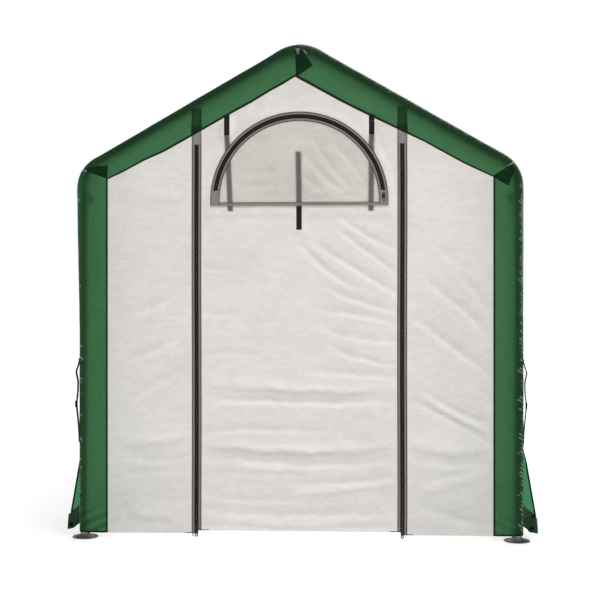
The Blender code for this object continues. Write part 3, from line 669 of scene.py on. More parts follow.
def slope(lift: Array, x: Array, z: Array, strength: float) -> Array:
    """Painted light and shade on a sheet's creases: each slope is painted lighter or darker by the way it faces.

    Args:
        lift: the creases' height at each point.
        x, z: the points; both grow along the grid.
        strength: of the effect.

    Returns:
        What to add to the tone at each point.
    """
    rise = np.gradient(lift, axis=0) / np.maximum(np.gradient(z, axis=0), 1e-4)
    across = np.gradient(lift, axis=1) / np.maximum(np.gradient(x, axis=1), 1e-4)
    return np.clip(strength * (0.9 * rise + 0.45 * across), -0.22, 0.16)


def faded(value: Array, reach: float) -> Array:
    """0 at an edge and 1 from the given reach inwards, with soft ends."""
    share = np.clip(value / reach, 0.0, 1.0)
    return share * share * (3 - 2 * share)


def hump(value: Array, reach: object) -> Array:
    """1 where the value is 0, falling to 0 either way past the given reach."""
    return np.exp(-(value / reach) ** 2)


def run_along(line: Array) -> Array:
    """The distance along a line of points from its start."""
    return np.concatenate([[0.0], np.cumsum(np.linalg.norm(np.diff(line, axis=0), axis=1))])


@dataclass
class ClothGrid:
    """A sheet of cloth on a grid of points, with UVs in metres and masks for its finish.

    Attributes:
        name: the piece's name.
        points: rows by columns by three.
        edge: distance from the free edge at each point.
        uv: rows by columns by two, in metres; X and Z if left out.
        inner: distance from the inner edge at each point, for tapes.
        keep: mask of the cells that are cloth; all of them if left out.
        shade: painted light and shade, added to the cloth's tone at each point.
        mirrored: whether the columns are taken in the other order, which turns the faces over.
    """

    name: str
    points: Array
    edge: Array
    uv: Optional[Array] = None
    inner: Optional[Array] = None
    keep: Optional[Array] = None
    shade: Optional[Array] = None
    mirrored: bool = False

    def build(self, material: Material, thickness: float = 0.0) -> Piece:
        """Make the sheet's mesh.

        Args:
            material: its finish.
            thickness: a second face this far behind the first, with the rim closed; 0 for one face.

        Returns:
            The object, at the origin, with its place in its mesh.
        """
        step = -1 if self.mirrored else 1
        rows, columns = self.points.shape[:2]
        keep = np.ones((rows - 1, columns - 1), bool) if self.keep is None else self.keep[:, ::step]
        faces = [(r * columns + c, r * columns + c + 1, (r + 1) * columns + c + 1, (r + 1) * columns + c)
                 for r in range(rows - 1) for c in range(columns - 1) if keep[r, c]]
        mesh = bpy.data.meshes.new(self.name)
        mesh.from_pydata(self.points[:, ::step].reshape(-1, 3).tolist(), [], faces)
        layer = mesh.uv_layers.new(name="ClothUV")
        uv = self.points[..., [0, 2]] if self.uv is None else self.uv
        layer.data.foreach_set("uv", uv[:, ::step].reshape(-1, 2)[np.ravel(faces)].astype(np.float32).ravel())
        for label in ("edge", "inner", "shade"):
            values = getattr(self, label)
            if values is not None:
                values = np.broadcast_to(values, (rows, columns))[:, ::step]
                attribute = mesh.attributes.new(label, "FLOAT", "POINT")
                attribute.data.foreach_set("value", values.astype(np.float32).ravel())
        mesh.materials.append(material)
        item = linked(self.name, mesh)
        bm = bmesh.new()
        bm.from_mesh(mesh)
        bmesh.ops.delete(bm, geom=[vert for vert in bm.verts if not vert.link_faces], context="VERTS")
        bmesh.ops.remove_doubles(bm, verts=bm.verts, dist=0.00002)
        bmesh.ops.dissolve_degenerate(bm, dist=0.00001, edges=bm.edges)
        outward = sum(face.calc_area() * face.normal.dot(face.calc_center_median() - INSIDE) for face in bm.faces)
        if outward < 0 and not thickness:
            bmesh.ops.reverse_faces(bm, faces=bm.faces)
        bm.to_mesh(mesh)
        bm.free()
        mesh.shade_smooth()
        if thickness:
            modified(item, "SOLIDIFY", thickness=thickness, offset=-1.0, use_even_offset=False)
        return item


def linked(name: str, data: bpy.types.ID) -> Piece:
    """A new object in the scene for a mesh, a lamp or a camera."""
    item = bpy.data.objects.new(name, data)
    bpy.context.scene.collection.objects.link(item)
    return item


def modified(item: Piece, kind: str, **settings: object) -> None:
    """Put a modifier on a piece and apply it.

    Args:
        item: the piece.
        kind: of modifier.
        settings: its properties.
    """
    modifier = item.modifiers.new(kind.lower(), kind)
    for key, value in settings.items():
        setattr(modifier, key, value)
    bpy.context.view_layer.objects.active = item
    bpy.ops.object.modifier_apply(modifier=modifier.name)


def primitive(kind: str, **settings: object) -> Piece:
    """Add a primitive mesh, which is then the only object selected."""
    bpy.ops.object.select_all(action="DESELECT")
    getattr(bpy.ops.mesh, f"primitive_{kind}_add")(**settings)
    return bpy.context.object


@contextmanager
def editing() -> Iterator[None]:
    """Edit mode on the active object, with all of it selected."""
    bpy.ops.object.mode_set(mode="EDIT")
    bpy.ops.mesh.select_all(action="SELECT")
    yield
    bpy.ops.object.mode_set(mode="OBJECT")


def ring(radius: float, wire: float, segments: int, sides: int = 8, turn: Triple = FACING_FRONT) -> Piece:
    """A ring round the world's origin.

    Args:
        radius, wire: of the ring and of its wire.
        segments, sides: cells round the ring and round its wire.
        turn: its rotation, which is applied.

    Returns:
        The ring.
    """
    item = primitive("torus", major_segments=segments, minor_segments=sides, major_radius=radius,
                     minor_radius=wire, location=(0.0, 0.0, 0.0), rotation=turn)
    bpy.ops.object.transform_apply(location=False, rotation=True, scale=True)
    return item


def block(size: Triple, place: Triple, bevel: float) -> Piece:
    """A block with soft edges.

    Args:
        size: its three sizes.
        place: its middle.
        bevel: how far the edges are cut back.

    Returns:
        The block.
    """
    item = primitive("cube", size=1.0, location=place)
    with editing():
        bpy.ops.transform.resize(value=size)
        bpy.ops.mesh.bevel(offset=bevel, segments=2)
    return item


def dress(item: Piece, body: str, slot: str, *nodes: str) -> None:
    """Put a finished piece on its body, in place of CAD nodes.

    Args:
        item: the piece.
        body: the body that it moves with.
        slot: the record's material slot; not used.
        nodes: CAD nodes that it stands for.
    """
    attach(item, body)
    if nodes:
        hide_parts(*nodes)
    log.info("%s rides on %s", item.name, body)


def joined(name: str, parts: Sequence[Piece], material: Material) -> Piece:
    """Join parts into one object at the world's origin, with their place in its mesh.

    Args:
        name: of the joined piece.
        parts: the parts, which go into it.
        material: its finish.

    Returns:
        The joined piece.
    """
    bpy.ops.object.select_all(action="DESELECT")
    for part in parts:
        part.select_set(True)
    bpy.context.view_layer.objects.active = parts[0]
    bpy.ops.object.transform_apply(location=True, rotation=True, scale=True)
    if len(parts) > 1:
        bpy.ops.object.join()
    item = bpy.context.view_layer.objects.active
    item.name = item.data.name = name
    item.data.materials.clear()
    item.data.materials.append(material)
    bpy.ops.object.shade_smooth_by_angle(angle=math.radians(35.0))
    bpy.ops.object.select_all(action="DESELECT")
    return item


def faced(item: Piece) -> None:
    """Turn every face of a closed piece outwards."""
    bm = bmesh.new()
    bm.from_mesh(item.data)
    bmesh.ops.recalc_face_normals(bm, faces=bm.faces)
    bm.to_mesh(item.data)
    bm.free()


def smooth_path(points: Sequence[Triple], count: int) -> Array:
    """Evenly spaced points on straight runs through the given ones, with softened corners.

    Args:
        points: the given points, which are kept as well.
        count: of the spaced points.

    Returns:
        The points of the path.
    """
    line = np.array(points)
    run = run_along(line)
    where = np.unique(np.concatenate([np.linspace(0.0, run[-1], count), run]))
    spaced = stacked(*(np.interp(where, run, line[:, axis]) for axis in range(3)))
    for _ in range(2):
        spaced[1:-1] = 0.5 * spaced[1:-1] + 0.25 * (spaced[:-2] + spaced[2:])
    return spaced


def strip(name: str, line: Array, width: float, across: Triple, thickness: float) -> Piece:
    """A strap of black webbing along a path.

    Args:
        name: the piece's name.
        line: points of its middle line.
        width: of the strap.
        across: unit vector across it.
        thickness: of the strap.

    Returns:
        The strap.
    """
    offsets = np.linspace(-width / 2, width / 2, 5)
    points = line[:, None, :] + np.array(across) * offsets[:, None]
    inner = offsets + width / 2
    grid = ClothGrid(name, points, width / 2 - np.abs(offsets), stacked(inner, run_along(line)[:, None]), inner)
    return grid.build(Finishes.webbing, thickness)


def cut_half_moon(x: Array, z: Array) -> tuple[Array, Array, Array]:
    """Cut a vent's half-moon hole into a grid: points near its edge move onto it, cells inside it go.

    Args:
        x, z: the grid's points.

    Returns:
        The moved x and z, and the mask of the cells that stay.
    """
    radius, floor = VENT_RADIUS + 0.008, VENT_SEAM - 0.0004
    z = z.copy()
    row = int(np.argmin(np.abs(z[:, 0] - floor)))
    z[row, :] = floor
    reach = np.hypot(x, z - VENT_CENTRE)
    cell = max(np.diff(z[:, 0]).max(), np.diff(x[row]).max()) * 0.72
    near = (np.abs(reach - radius) < cell) & (np.arange(len(z))[:, None] > row)
    scale = np.where(near, radius / np.maximum(reach, 1e-6), 1.0)
    x, z = x * scale, VENT_CENTRE + (z - VENT_CENTRE) * scale
    mid_x, mid_z = ((part[:-1, :-1] + part[1:, 1:] + part[:-1, 1:] + part[1:, :-1]) / 4 for part in (x, z))
    inside = (np.hypot(mid_x, mid_z - VENT_CENTRE) < radius - 0.0005) & (mid_z > floor)
    return x, z, ~inside


@dataclass
class EndWall:
    """A translucent end wall, with the doorway cut out of the front one and a vent in the rear one.

    Attributes:
        end: which end it closes.
        columns, middle_columns: cells across the part beside the doorway, and across the doorway.
        rows, top_rows, rear_rows: cells up to the doorway's top and above it, and of the rear wall.
        peak: height of its top.
        flat_edge: from the middle to where the bands keep it flat.
        folds: its creases.
    """

    end: End
    columns: int = 40
    middle_columns: int = 76
    rows: int = 165
    top_rows: int = 25
    rear_rows: int = 203
    peak: float = 1.9598
    flat_edge: float = 0.765
    folds: Folds = creases(
        (-0.70, 0.885, -0.45, 1.010, 0.016, 0.0030), (-0.72, 0.705, -0.46, 0.830, 0.018, 0.0032),
        (-0.72, 0.560, -0.47, 0.680, 0.016, 0.0026), (-0.73, 0.378, -0.44, 0.412, 0.024, -0.0036),
        (-0.73, 0.330, -0.45, 0.322, 0.018, 0.0030), (-0.72, 0.262, -0.46, 0.275, 0.012, 0.0020),
        (-0.70, 1.352, -0.48, 1.362, 0.016, -0.0018), (-0.70, 0.110, -0.46, 0.070, 0.030, -0.0036),
        (0.500, 1.045, 0.768, 0.785, 0.016, 0.0034), (0.440, 0.905, 0.768, 0.645, 0.015, 0.0038),
        (0.490, 0.592, 0.768, 0.468, 0.012, 0.0042), (0.470, 0.580, 0.768, 0.420, 0.014, -0.0034),
        (0.440, 0.556, 0.768, 0.372, 0.013, 0.0034), (0.440, 0.372, 0.768, 0.360, 0.026, -0.0042),
        (0.440, 0.322, 0.768, 0.306, 0.020, 0.0034), (0.470, 0.232, 0.768, 0.314, 0.013, 0.0028),
        (0.480, 0.195, 0.768, 0.276, 0.013, -0.0024), (0.450, 0.134, 0.768, 0.062, 0.020, 0.0034),
        (0.500, 1.200, 0.720, 1.060, 0.016, 0.0018), (0.620, 1.080, 0.768, 0.900, 0.014, 0.0020))

    def front_grid(self) -> tuple[Array, Array, Array, Array]:
        """The front wall's grid, open at the doorway.

        Returns:
            X and Z of the points, the mask of the cells that stay, and the distance from the doorway.
        """
        top = np.linspace(DOOR_TOP, self.peak, self.top_rows + 1)[1:]
        heights = np.concatenate([np.linspace(FLOOR_HEM, DOOR_TOP, self.rows + 1), top])
        outer = RIB.half_width_at(heights)
        slant = np.interp(heights, [DOOR_SHOULDER, DOOR_TOP], [DOOR_EDGE + 0.0006, DOOR_TOP_EDGE + 0.0006])
        inner = np.where(heights < DOOR_SHOULDER, ZIP_LINE + 0.008, slant)
        inner = np.where(heights > DOOR_TOP + 1e-6, np.minimum(inner, outer * 0.9), inner)
        share = np.linspace(0.0, 1.0, self.columns + 1)
        left = -outer[:, None] + (outer - inner)[:, None] * share
        middle = inner[:, None] * np.linspace(-1, 1, self.middle_columns + 1)[1:-1]
        x = np.concatenate([left, middle, -left[:, ::-1]], axis=1)
        z = np.repeat(heights[:, None], x.shape[1], 1)
        keep = np.ones((x.shape[0] - 1, x.shape[1] - 1), bool)
        keep[:self.rows, self.columns:self.columns + self.middle_columns] = False
        return x, z, keep, np.abs(x) - inner[:, None]

    def rear_grid(self) -> tuple[Array, Array, Array, Array]:
        """The rear wall's grid, open at its vent.

        Returns:
            X and Z of the points, the mask of the cells that stay, and a distance past every edge.
        """
        heights = np.linspace(FLOOR_HEM, self.peak, self.rear_rows + 1)[:, None]
        x = RIB.half_width_at(heights) * np.linspace(-1, 1, 2 * self.columns + self.middle_columns + 1)
        x, z, keep = cut_half_moon(x, np.repeat(heights, x.shape[1], 1))
        return x, z, keep, np.full_like(x, 0.2)

    def build(self) -> None:
        """Build the wall in the place of its node."""
        front = self.end is End.FRONT
        x, z, keep, free = self.front_grid() if front else self.rear_grid()
        away = np.abs(x)
        calm = faded(z - 0.03, 0.05) * faded(1.845 - SLOPE * away - z, 0.06)
        if front:
            beside = faded(away - (ZIP_LINE + 0.02), 0.04) * faded(self.flat_edge - away, 0.03)
        else:
            beside = faded(self.flat_edge - away, 0.05)
            calm = calm * faded(np.hypot(x, z - VENT_CENTRE) - 0.37, 0.06)
        lift = calm * (lifted(self.folds, x, z) + 0.0016 * ripple(2.2 * x, z, 0.7))
        # Painted light and shade on the creases' slopes, and painted shade darkening the film towards the floor.
        shade = slope(lift, x, z, 0.75) * faded(free, 0.012) - 0.10 * hump(z - FLOOR_HEM, 0.20)
        y = depth_of(self.end, WALL_FRONT) + self.end.value * np.abs(beside * (lift + 0.0014 * calm))
        edge = np.minimum(np.abs(free) + 0.02, z - FLOOR_HEM)
        name = f"{self.end.word}_wall"
        item = ClothGrid(f"{name}_film", stacked(x, y, z), edge, keep=keep, shade=shade,
                         mirrored=not front).build(Finishes.panel)
        dress(item, "root", "translucent_cloth", name)


@dataclass
class Trim:
    """The green band round an end rib, sewn at the corner to the white film of the sides and roof.

    Attributes:
        end: which end it goes round.
        wing: how far the white film runs back along the side and the roof.
        corner_steps: cells round the fold over the tube.
        face_steps: cells across the green face.
        face: width of the face.
        left_puff, right_puff: how far the cloth stands away from the tube at the corner.
        left_seam, right_seam: where the seam lies round the corner, from the outermost line.
        left_edge, right_edge: distance from the middle and rise of the band's lower edge on the roof.
        mitres: corners of the doubled cloth at the eaves and the peak, in X and Z.
        highlight_patches: corners of the pale patches of white film that paint the highlights at the corners and the
            peak.
    """

    end: End
    wing: float = 0.100
    corner_steps: int = 14
    face_steps: int = 16
    face: float = 0.096
    left_puff: float = 0.0050
    right_puff: float = 0.0070
    left_seam: float = -0.004
    right_seam: float = 0.0125
    left_edge: tuple[Pair, ...] = ((0.0, -0.015), (0.114, -0.008), (0.194, -0.010), (0.274, -0.007), (0.465, -0.005),
                                   (0.546, -0.003), (0.628, 0.008), (0.709, 0.011), (0.774, 0.0185))
    right_edge: tuple[Pair, ...] = ((0.0, -0.020), (0.079, -0.024), (0.159, -0.023), (0.239, -0.018), (0.366, -0.007),
                                    (0.502, 0.0055), (0.581, 0.0063), (0.661, 0.008), (0.774, 0.0200))
    mitres: tuple[tuple[str, tuple[Pair, ...]], ...] = (
        ("right_mitre", ((0.768, 1.4545), (0.8391, 1.4968), (0.8602, 1.4805), (0.8331, 1.4164))),
        ("left_mitre", ((-0.7755, 1.4520), (-0.7733, 1.5065), (-0.8611, 1.4984), (-0.8611, 1.4822))),
        ("peak_mitre", ((-0.0125, 1.8560), (0.0562, 1.9019), (0.0110, 1.9660), (-0.0150, 1.9680))))
    highlight_patches: tuple[tuple[str, tuple[Pair, ...]], ...] = (
        ("peak_highlight_a", ((-0.0140, 1.9700), (-0.0050, 1.9420), (0.0010, 1.9560), (0.0040, 1.9720))),
        ("peak_highlight_b", ((0.0100, 1.9690), (0.0290, 1.9480), (0.0330, 1.9500), (0.0230, 1.9630))),
        ("right_highlight", ((0.8270, 1.4962), (0.8560, 1.5125), (0.8570, 1.5090), (0.8290, 1.4932))),
        ("left_highlight", ((-0.8740, 1.4900), (-0.8560, 1.4830), (-0.8590, 1.4800), (-0.8740, 1.4850))))

    def section(self) -> Array:
        """Points across the band.

        Returns:
            Rows of outwards, depth, the distance from the face's free edge, the run round the corner
            from the outermost line, and the share of the puff.
        """
        corner = self.face + 0.0374
        back = np.array([-1.0, -0.8, -0.6, -0.4, -0.25, -0.15, -0.08]) * self.wing
        turn = np.linspace(0.0, math.pi / 2, self.corner_steps + 1)
        share = np.linspace(0.0, 1.0, self.face_steps + 1)[1:]
        return np.concatenate([
            stacked(SIDE_OUT, back, corner - back, back, np.where(back > -0.01, 0.5, 0.0)),
            stacked(SIDE_OUT * np.cos(turn), TRIM_FRONT * np.sin(turn), corner - 0.023837 * turn, 0.024 * turn,
                    np.cos(turn) ** 2),
            stacked(TRIM_EDGE * share, TRIM_FRONT, self.face * (1 - share), 0.0377 + self.face * share, 0.0)])

    def build(self) -> None:
        """Build the band, with its gathered corner, its wavy lower edge and the crimps near the foot."""
        front, outwards = self.end is End.FRONT, self.end.value
        line = RIB.stations(FLOOR_HEM, 120, 20, 70, 10)
        across, height, angle, turned = (line[:, index, None] for index in range(4))
        out, depth, from_edge, round_corner, loose = self.section().T
        run = run_along(line[:, :2])[:, None]
        right = outwards * across < 0
        puff = np.where(right, self.right_puff, self.left_puff) * (1.0 + 0.25 * ripple(3.1 * run, 0.0, 0.9))
        puff = puff + 0.007 * hump(across, 0.07)
        puff = puff + np.where(right, 0.0, np.interp(height, [0.85, 1.40, 1.47, 1.53], [0.0, 0.0100, 0.0080, 0.0]))
        reach = out + puff * loose
        bend = np.where(np.abs(across) > 0.5, RIB.eave_bend, RIB.peak_bend)
        share = np.maximum(out / TRIM_EDGE, 0.0)
        squared = 1 + share * (1 / np.cos(turned) - 1)
        reach = np.where(turned > 1e-9, (bend + reach) * squared - bend, reach)
        x, z = across + reach * np.cos(angle), height + reach * np.sin(angle)
        lean = np.minimum(angle, math.pi - angle)
        climb = np.clip(np.tan(np.minimum(lean, 1.2)) / math.tan(RIB.normal / 2), 0.0, 1.0)
        rise = np.where(right, *(np.interp(np.abs(x), *np.array(side).T) for side in (self.right_edge, self.left_edge)))
        z = z + climb * rise * share ** 1.5
        x = x + outwards * 0.0104 * share * hump(x, 0.05)
        pulled = faded(from_edge - 0.006, 0.02) * faded(0.100 - from_edge, 0.02)
        wave = 0.0009 * ripple(9 * run, 30 * from_edge, 0.4 if front else 2.1) + 0.0009
        crimp = (np.abs(x) > 0.7) * hump(z - 0.062, 0.055) * np.where(x * outwards > 0, 0.0034, 0.0012)
        swing = np.sin(150 * (z + 0.45 * (np.abs(x) - 0.83)) + 1.3)
        y = depth_of(self.end, 0.0) + outwards * (depth + pulled * (wave + crimp * (1 + swing)))
        # Painted shadow of the tube along the outer part of the band on the rafters and the right leg; below, the
        # crimps' slopes are painted lighter and darker.
        painted_shadow = np.where(right, np.interp(height, [1.30, 1.48], [0.17, 0.30]),
                          np.interp(height, [1.44, 1.56], [0.0, 0.26]))
        shade = np.clip(110.0 * np.gradient(crimp * swing, axis=0), -0.30, 0.22)
        shade = shade - painted_shadow * faded(from_edge - 0.042, 0.055)
        seam = np.where(right, np.interp(height, [0.75, 1.05], [0.0025, self.right_seam]), self.left_seam)
        longer = np.where(height > RIB.eave_centre[1], 2.2, np.interp(height, [0.75, 1.05], [0.62, 1.0]))
        inner = round_corner - seam
        inner = np.where(inner > 0, inner * longer, inner)
        name = f"{self.end.word}_trim"
        edge = np.minimum(from_edge, z - z.min() + 0.0004)
        item = ClothGrid(f"{name}_band", stacked(x, y, z), edge, stacked(run, from_edge), inner, shade=shade,
                         mirrored=not front).build(Finishes.trim)
        dress(item, "root", "green_cloth", name)
        for word, corners in self.mitres:
            self.patch(word, corners, 0.0024, Finishes.mitre, "green_cloth")
        # Painted highlights: pale patches of white film over the band at the eaves and the peak.
        for word, corners in self.highlight_patches:
            self.patch(word, corners, 0.0032, Finishes.panel, "translucent_cloth")

    def patch(self, word: str, corners: Sequence[Pair], raised: float, finish: Material, slot: str) -> None:
        """Lay a doubled corner, or a pale patch of white film that paints a highlight, over the band's face.

        Args:
            word: what its name ends with.
            corners: its corners in X and Z, as on the front band.
            raised: from the band's face to its own.
            finish, slot: its finish and its material slot.
        """
        quad = [Vector((-self.end.value * x, depth_of(self.end, TRIM_FRONT + raised), z)) for x, z in corners]
        share = np.linspace(0, 1, 11)
        low, high = ([quad[a].lerp(quad[b], part) for part in share] for a, b in ((0, 1), (3, 2)))
        grid = np.array([[a.lerp(b, part) for a, b in zip(low, high)] for part in share])
        inside = np.minimum(share, 1 - share)
        edge = np.minimum(inside[:, None], inside) * 0.08
        grid[..., 1] += self.end.value * 0.0012 * faded(edge, 0.03)
        item = ClothGrid(f"{self.end.word}_{word}", grid, edge).build(finish)
        dress(item, "root", slot)


@dataclass
class RoofCover:
    """The clear sheet over the three ribs, which sags a little between them.

    Attributes:
        hem: height of its hems.
        half_length: from the middle to its front and rear edges.
        rows: cells along it.
        sag: between the ribs.
    """

    hem: float = 1.385
    half_length: float = 1.0957
    rows: int = 96
    sag: float = 0.006

    def build(self) -> None:
        """Build the cover in the place of its node."""
        line = RIB.stations(self.hem, 2, 12, 44, 6)
        x, z, angle = line[:, :3].T
        run = run_along(line[:, :2])
        y = np.linspace(-self.half_length, self.half_length, self.rows + 1)[:, None]
        between = np.sin(math.pi * np.abs(y) / 1.15) ** 2
        slack = self.sag * between * faded(run, 0.3) * faded(run[-1] - run, 0.3)
        crease = 0.0015 * ripple(1.4 * run, 2.0 * y, 1.3)
        offset = np.minimum(SIDE_OUT - slack * 0.9 + crease * np.minimum(between * 3, 1), SIDE_OUT + 0.001)
        # Painted light and shade: stripes of lighter and darker film near the ribs.
        near = hump(np.abs(y) - 0.02, 0.10) + hump(np.abs(y) - 1.07, 0.10)
        shade = 0.07 * near * np.sin(run * 21.0 + 3.0 * ripple(3.0 * run, 0.0, 0.4) + y * 16.0)
        shade = shade * faded(run - 0.1, 0.2) * faded(run[-1] - run - 0.1, 0.2)
        points = stacked(x + offset * np.cos(angle), y, z + offset * np.sin(angle))
        item = ClothGrid("main_cover_film", points, np.minimum(run, run[-1] - run), stacked(run, y),
                         shade=shade).build(Finishes.roof)
        dress(item, "root", "translucent_cloth", "main_cover")


@dataclass(frozen=True)
class CoilMaker:
    """Makes the nylon coils of the zips from one modelled tooth.

    Attributes:
        pitch: from one tooth to the next.
        wire: thickness of the coil's wire.
        reach: how wide one side's coil is.
    """

    pitch: float = 0.0036
    wire: float = 0.0009
    reach: float = 0.0034

    @property
    def offset(self) -> float:
        """From the zip's line to the middle of one side's coil; the two sides' coils mesh."""
        return 0.0003 + self.reach / 2 - 0.0008

    def tooth(self) -> Piece:
        """Model one turn of the coil: a small ring, pressed flat and leaning along the zip.

        Returns:
            The tooth, round the origin, with the zip running along Z.
        """
        item = ring(self.reach / 2, self.wire, 7, 3, (0.0, 0.0, 0.0))
        with editing():
            bpy.ops.transform.resize(value=(1.0, 0.55, 1.0))
            bpy.ops.transform.rotate(value=math.radians(14), orient_axis="Y", center_override=(0.0, 0.0, 0.0))
        return item

    def lay(self, name: str, body: str, places: Sequence[tuple[Triple, float]]) -> None:
        """Copy the tooth to many places as one piece.

        Args:
            name: the coil's name.
            body: the body that it moves with.
            places: the middle of each tooth and its turn about Y.
        """
        model = self.tooth()
        source = np.array([vert.co for vert in model.data.vertices])
        x, y, z = source.T
        faces = [tuple(face.vertices) for face in model.data.polygons]
        points, polygons = [], []
        for index, (place, turn) in enumerate(places):
            c, s = math.cos(turn), math.sin(turn)
            points.append(stacked(x * c + z * s, y, z * c - x * s) + place)
            polygons.extend(tuple(corner + index * len(source) for corner in face) for face in faces)
        mesh = bpy.data.meshes.new(name)
        mesh.from_pydata(np.concatenate(points).tolist(), [], polygons)
        mesh.materials.append(Finishes.coil)
        mesh.shade_smooth()
        bpy.data.objects.remove(model, do_unlink=True)
        dress(linked(name, mesh), body, "zip_tape")


@dataclass
class DoorZip:
    """One of the door's two zips: tapes with their coils, the plain tape on above them, and bar tacks.

    Attributes:
        side: which zip.
        width: over both tapes.
        depth: of the coils' middle, outwards from the end rib.
        tack_depth: of the stitches and the cord loop at the foot.
        wall_floor, door_floor: lower ends of the two tapes.
        coil_top: where the coils end.
        door_top, wall_top, fixed_top: upper ends of the two tapes and of the one above the door's.
        head_top: where the fixed tape behind the band ends.
        coils: the maker of its coils.
    """

    side: Side
    width: float = 0.0395
    depth: float = 0.0198
    tack_depth: float = 0.0203
    wall_floor: float = 0.022
    door_floor: float = 0.050
    coil_top: float = 1.5882
    door_top: float = 1.6325
    wall_top: float = 1.6400
    fixed_top: float = 1.6560
    head_top: float = 1.735
    coils: CoilMaker = CoilMaker()

    @property
    def line(self) -> float:
        """X of the zip's middle line."""
        return self.side.value * ZIP_LINE

    def tape(self, label: str, hand: int, floor: float, top: float, body: str, plain: bool, *nodes: str) -> None:
        """Build one stretch of tape.

        Args:
            label: what the piece's name ends with.
            hand: +1 for the tape on the wall's side, -1 for the door's.
            floor, top: its two ends.
            body: the body that it moves with.
            plain: whether it is plain tape, without a coil.
            nodes: the CAD nodes that it stands for.
        """
        sign = self.side.value * hand
        start, reach = self.line + sign * 0.0001, self.width / 2 - 0.0001
        z = np.linspace(floor, top, max(8, int((top - floor) / 0.018)))[:, None]
        across = np.linspace(0.0, 1.0, 7)
        sway = 0.0007 * np.sin(5.0 * z + self.side.value) * faded(z - floor, 0.1) * faded(1.58 - z, 0.1)
        bow = (0.0 if plain else 0.0006) * np.sin(math.pi * across)
        points = stacked(start + sign * reach * across + sway, depth_of(End.FRONT, self.depth + 0.00045) - bow, z)
        item = ClothGrid(f"{self.side.word}_{label}_weave", points, (1 - across) * reach, stacked(across * reach, z),
                         across * reach, mirrored=sign < 0).build(Finishes.plain_tape if plain else Finishes.tape)
        dress(item, body, "zip_tape", *nodes)

    def backing(self, label: str, half: float, columns: int, floor: Pair, top: float, rows: int, depth: float,
                finish: Material) -> None:
        """Lay cloth behind the band, which shows through it: the doubled tape and its folded-over end.

        Args:
            label: what the piece's name ends with.
            half: half its width.
            columns, rows: of points.
            floor: its lower edge, as a height and the fall for each metre from the middle.
            top: height of its upper edge.
            depth: of its face.
            finish: its finish.
        """
        x = self.line + np.linspace(-half, half, columns)
        low = floor[0] - floor[1] * np.abs(x)
        z = low + (top - low) * np.linspace(0.0, 1.0, rows)[:, None]
        points = stacked(x, depth_of(End.FRONT, depth), z)
        edge = half - np.abs(x - self.line)
        item = ClothGrid(f"{self.side.word}_{label}_weave", points, edge, inner=edge).build(finish)
        dress(item, "root", "zip_tape")

    def loop_end(self) -> None:
        """The loop of cord that shows under the left zip, outside its slider."""
        item = ring(0.0026, 0.0009, 28)
        with editing():
            bpy.ops.transform.resize(value=(1.0, 1.0, 2.3))
            bpy.ops.transform.translate(value=(self.side.value * 0.4270, depth_of(End.FRONT, self.tack_depth), 0.0185))
        dress(joined(f"{self.side.word}_cord_loop", [item], Finishes.webbing), "root", "black_webbing")

    def build(self) -> None:
        """Build the zip."""
        word, half = self.side.word, self.width / 2
        self.tape("wall_tape", 1, self.wall_floor, self.coil_top, "root", False, f"{word}_wall_tape")
        self.tape("door_tape", -1, self.door_floor, self.coil_top, "door", False, f"{word}_door_tape")
        self.tape("door_tape_foot", -1, DOOR_FLOOR + 0.0005, self.door_floor - 0.0002, "door", False)
        self.tape("wall_tape_end", 1, self.coil_top, self.wall_top, "root", True)
        self.tape("door_tape_end", -1, self.coil_top, self.door_top, "door", True)
        self.tape("fixed_tape_end", -1, self.door_top + 0.0004, self.fixed_top, "root", True)
        self.backing("head_tape", half, 9, (self.fixed_top + 0.0006, 0.0), self.head_top, 14, 0.0196,
                     Finishes.head_tape)
        self.backing("tape_fold", half + 0.0022, 7, (1.8790, SLOPE), 1.6630, 6, 0.02035, Finishes.webbing)
        if self.side is Side.LEFT:
            self.loop_end()
        for label, away, height, length, body in (("wall", 0.4430, 0.0245, 0.026, "root"),
                                                  ("door", 0.3830, 0.0368, 0.038, "door")):
            place = (self.side.value * away, depth_of(End.FRONT, self.tack_depth), height)
            row = joined(f"{word}_{label}_bar_tack", [block((length, 0.0010, 0.0030), place, 0.0004)], Finishes.webbing)
            dress(row, body, "black_webbing")
        for hand, body, label, floor in ((1, "root", "wall", self.wall_floor + 0.006 + self.coils.pitch / 2),
                                         (-1, "door", "door", self.door_floor)):
            x = self.line + self.side.value * hand * self.coils.offset
            heights = floor + self.coils.pitch * np.arange(int((self.coil_top - floor) / self.coils.pitch))
            places = [((x, depth_of(End.FRONT, self.depth + 0.0012), height), 0.0) for height in heights]
            self.coils.lay(f"{word}_{label}_coil", body, places)


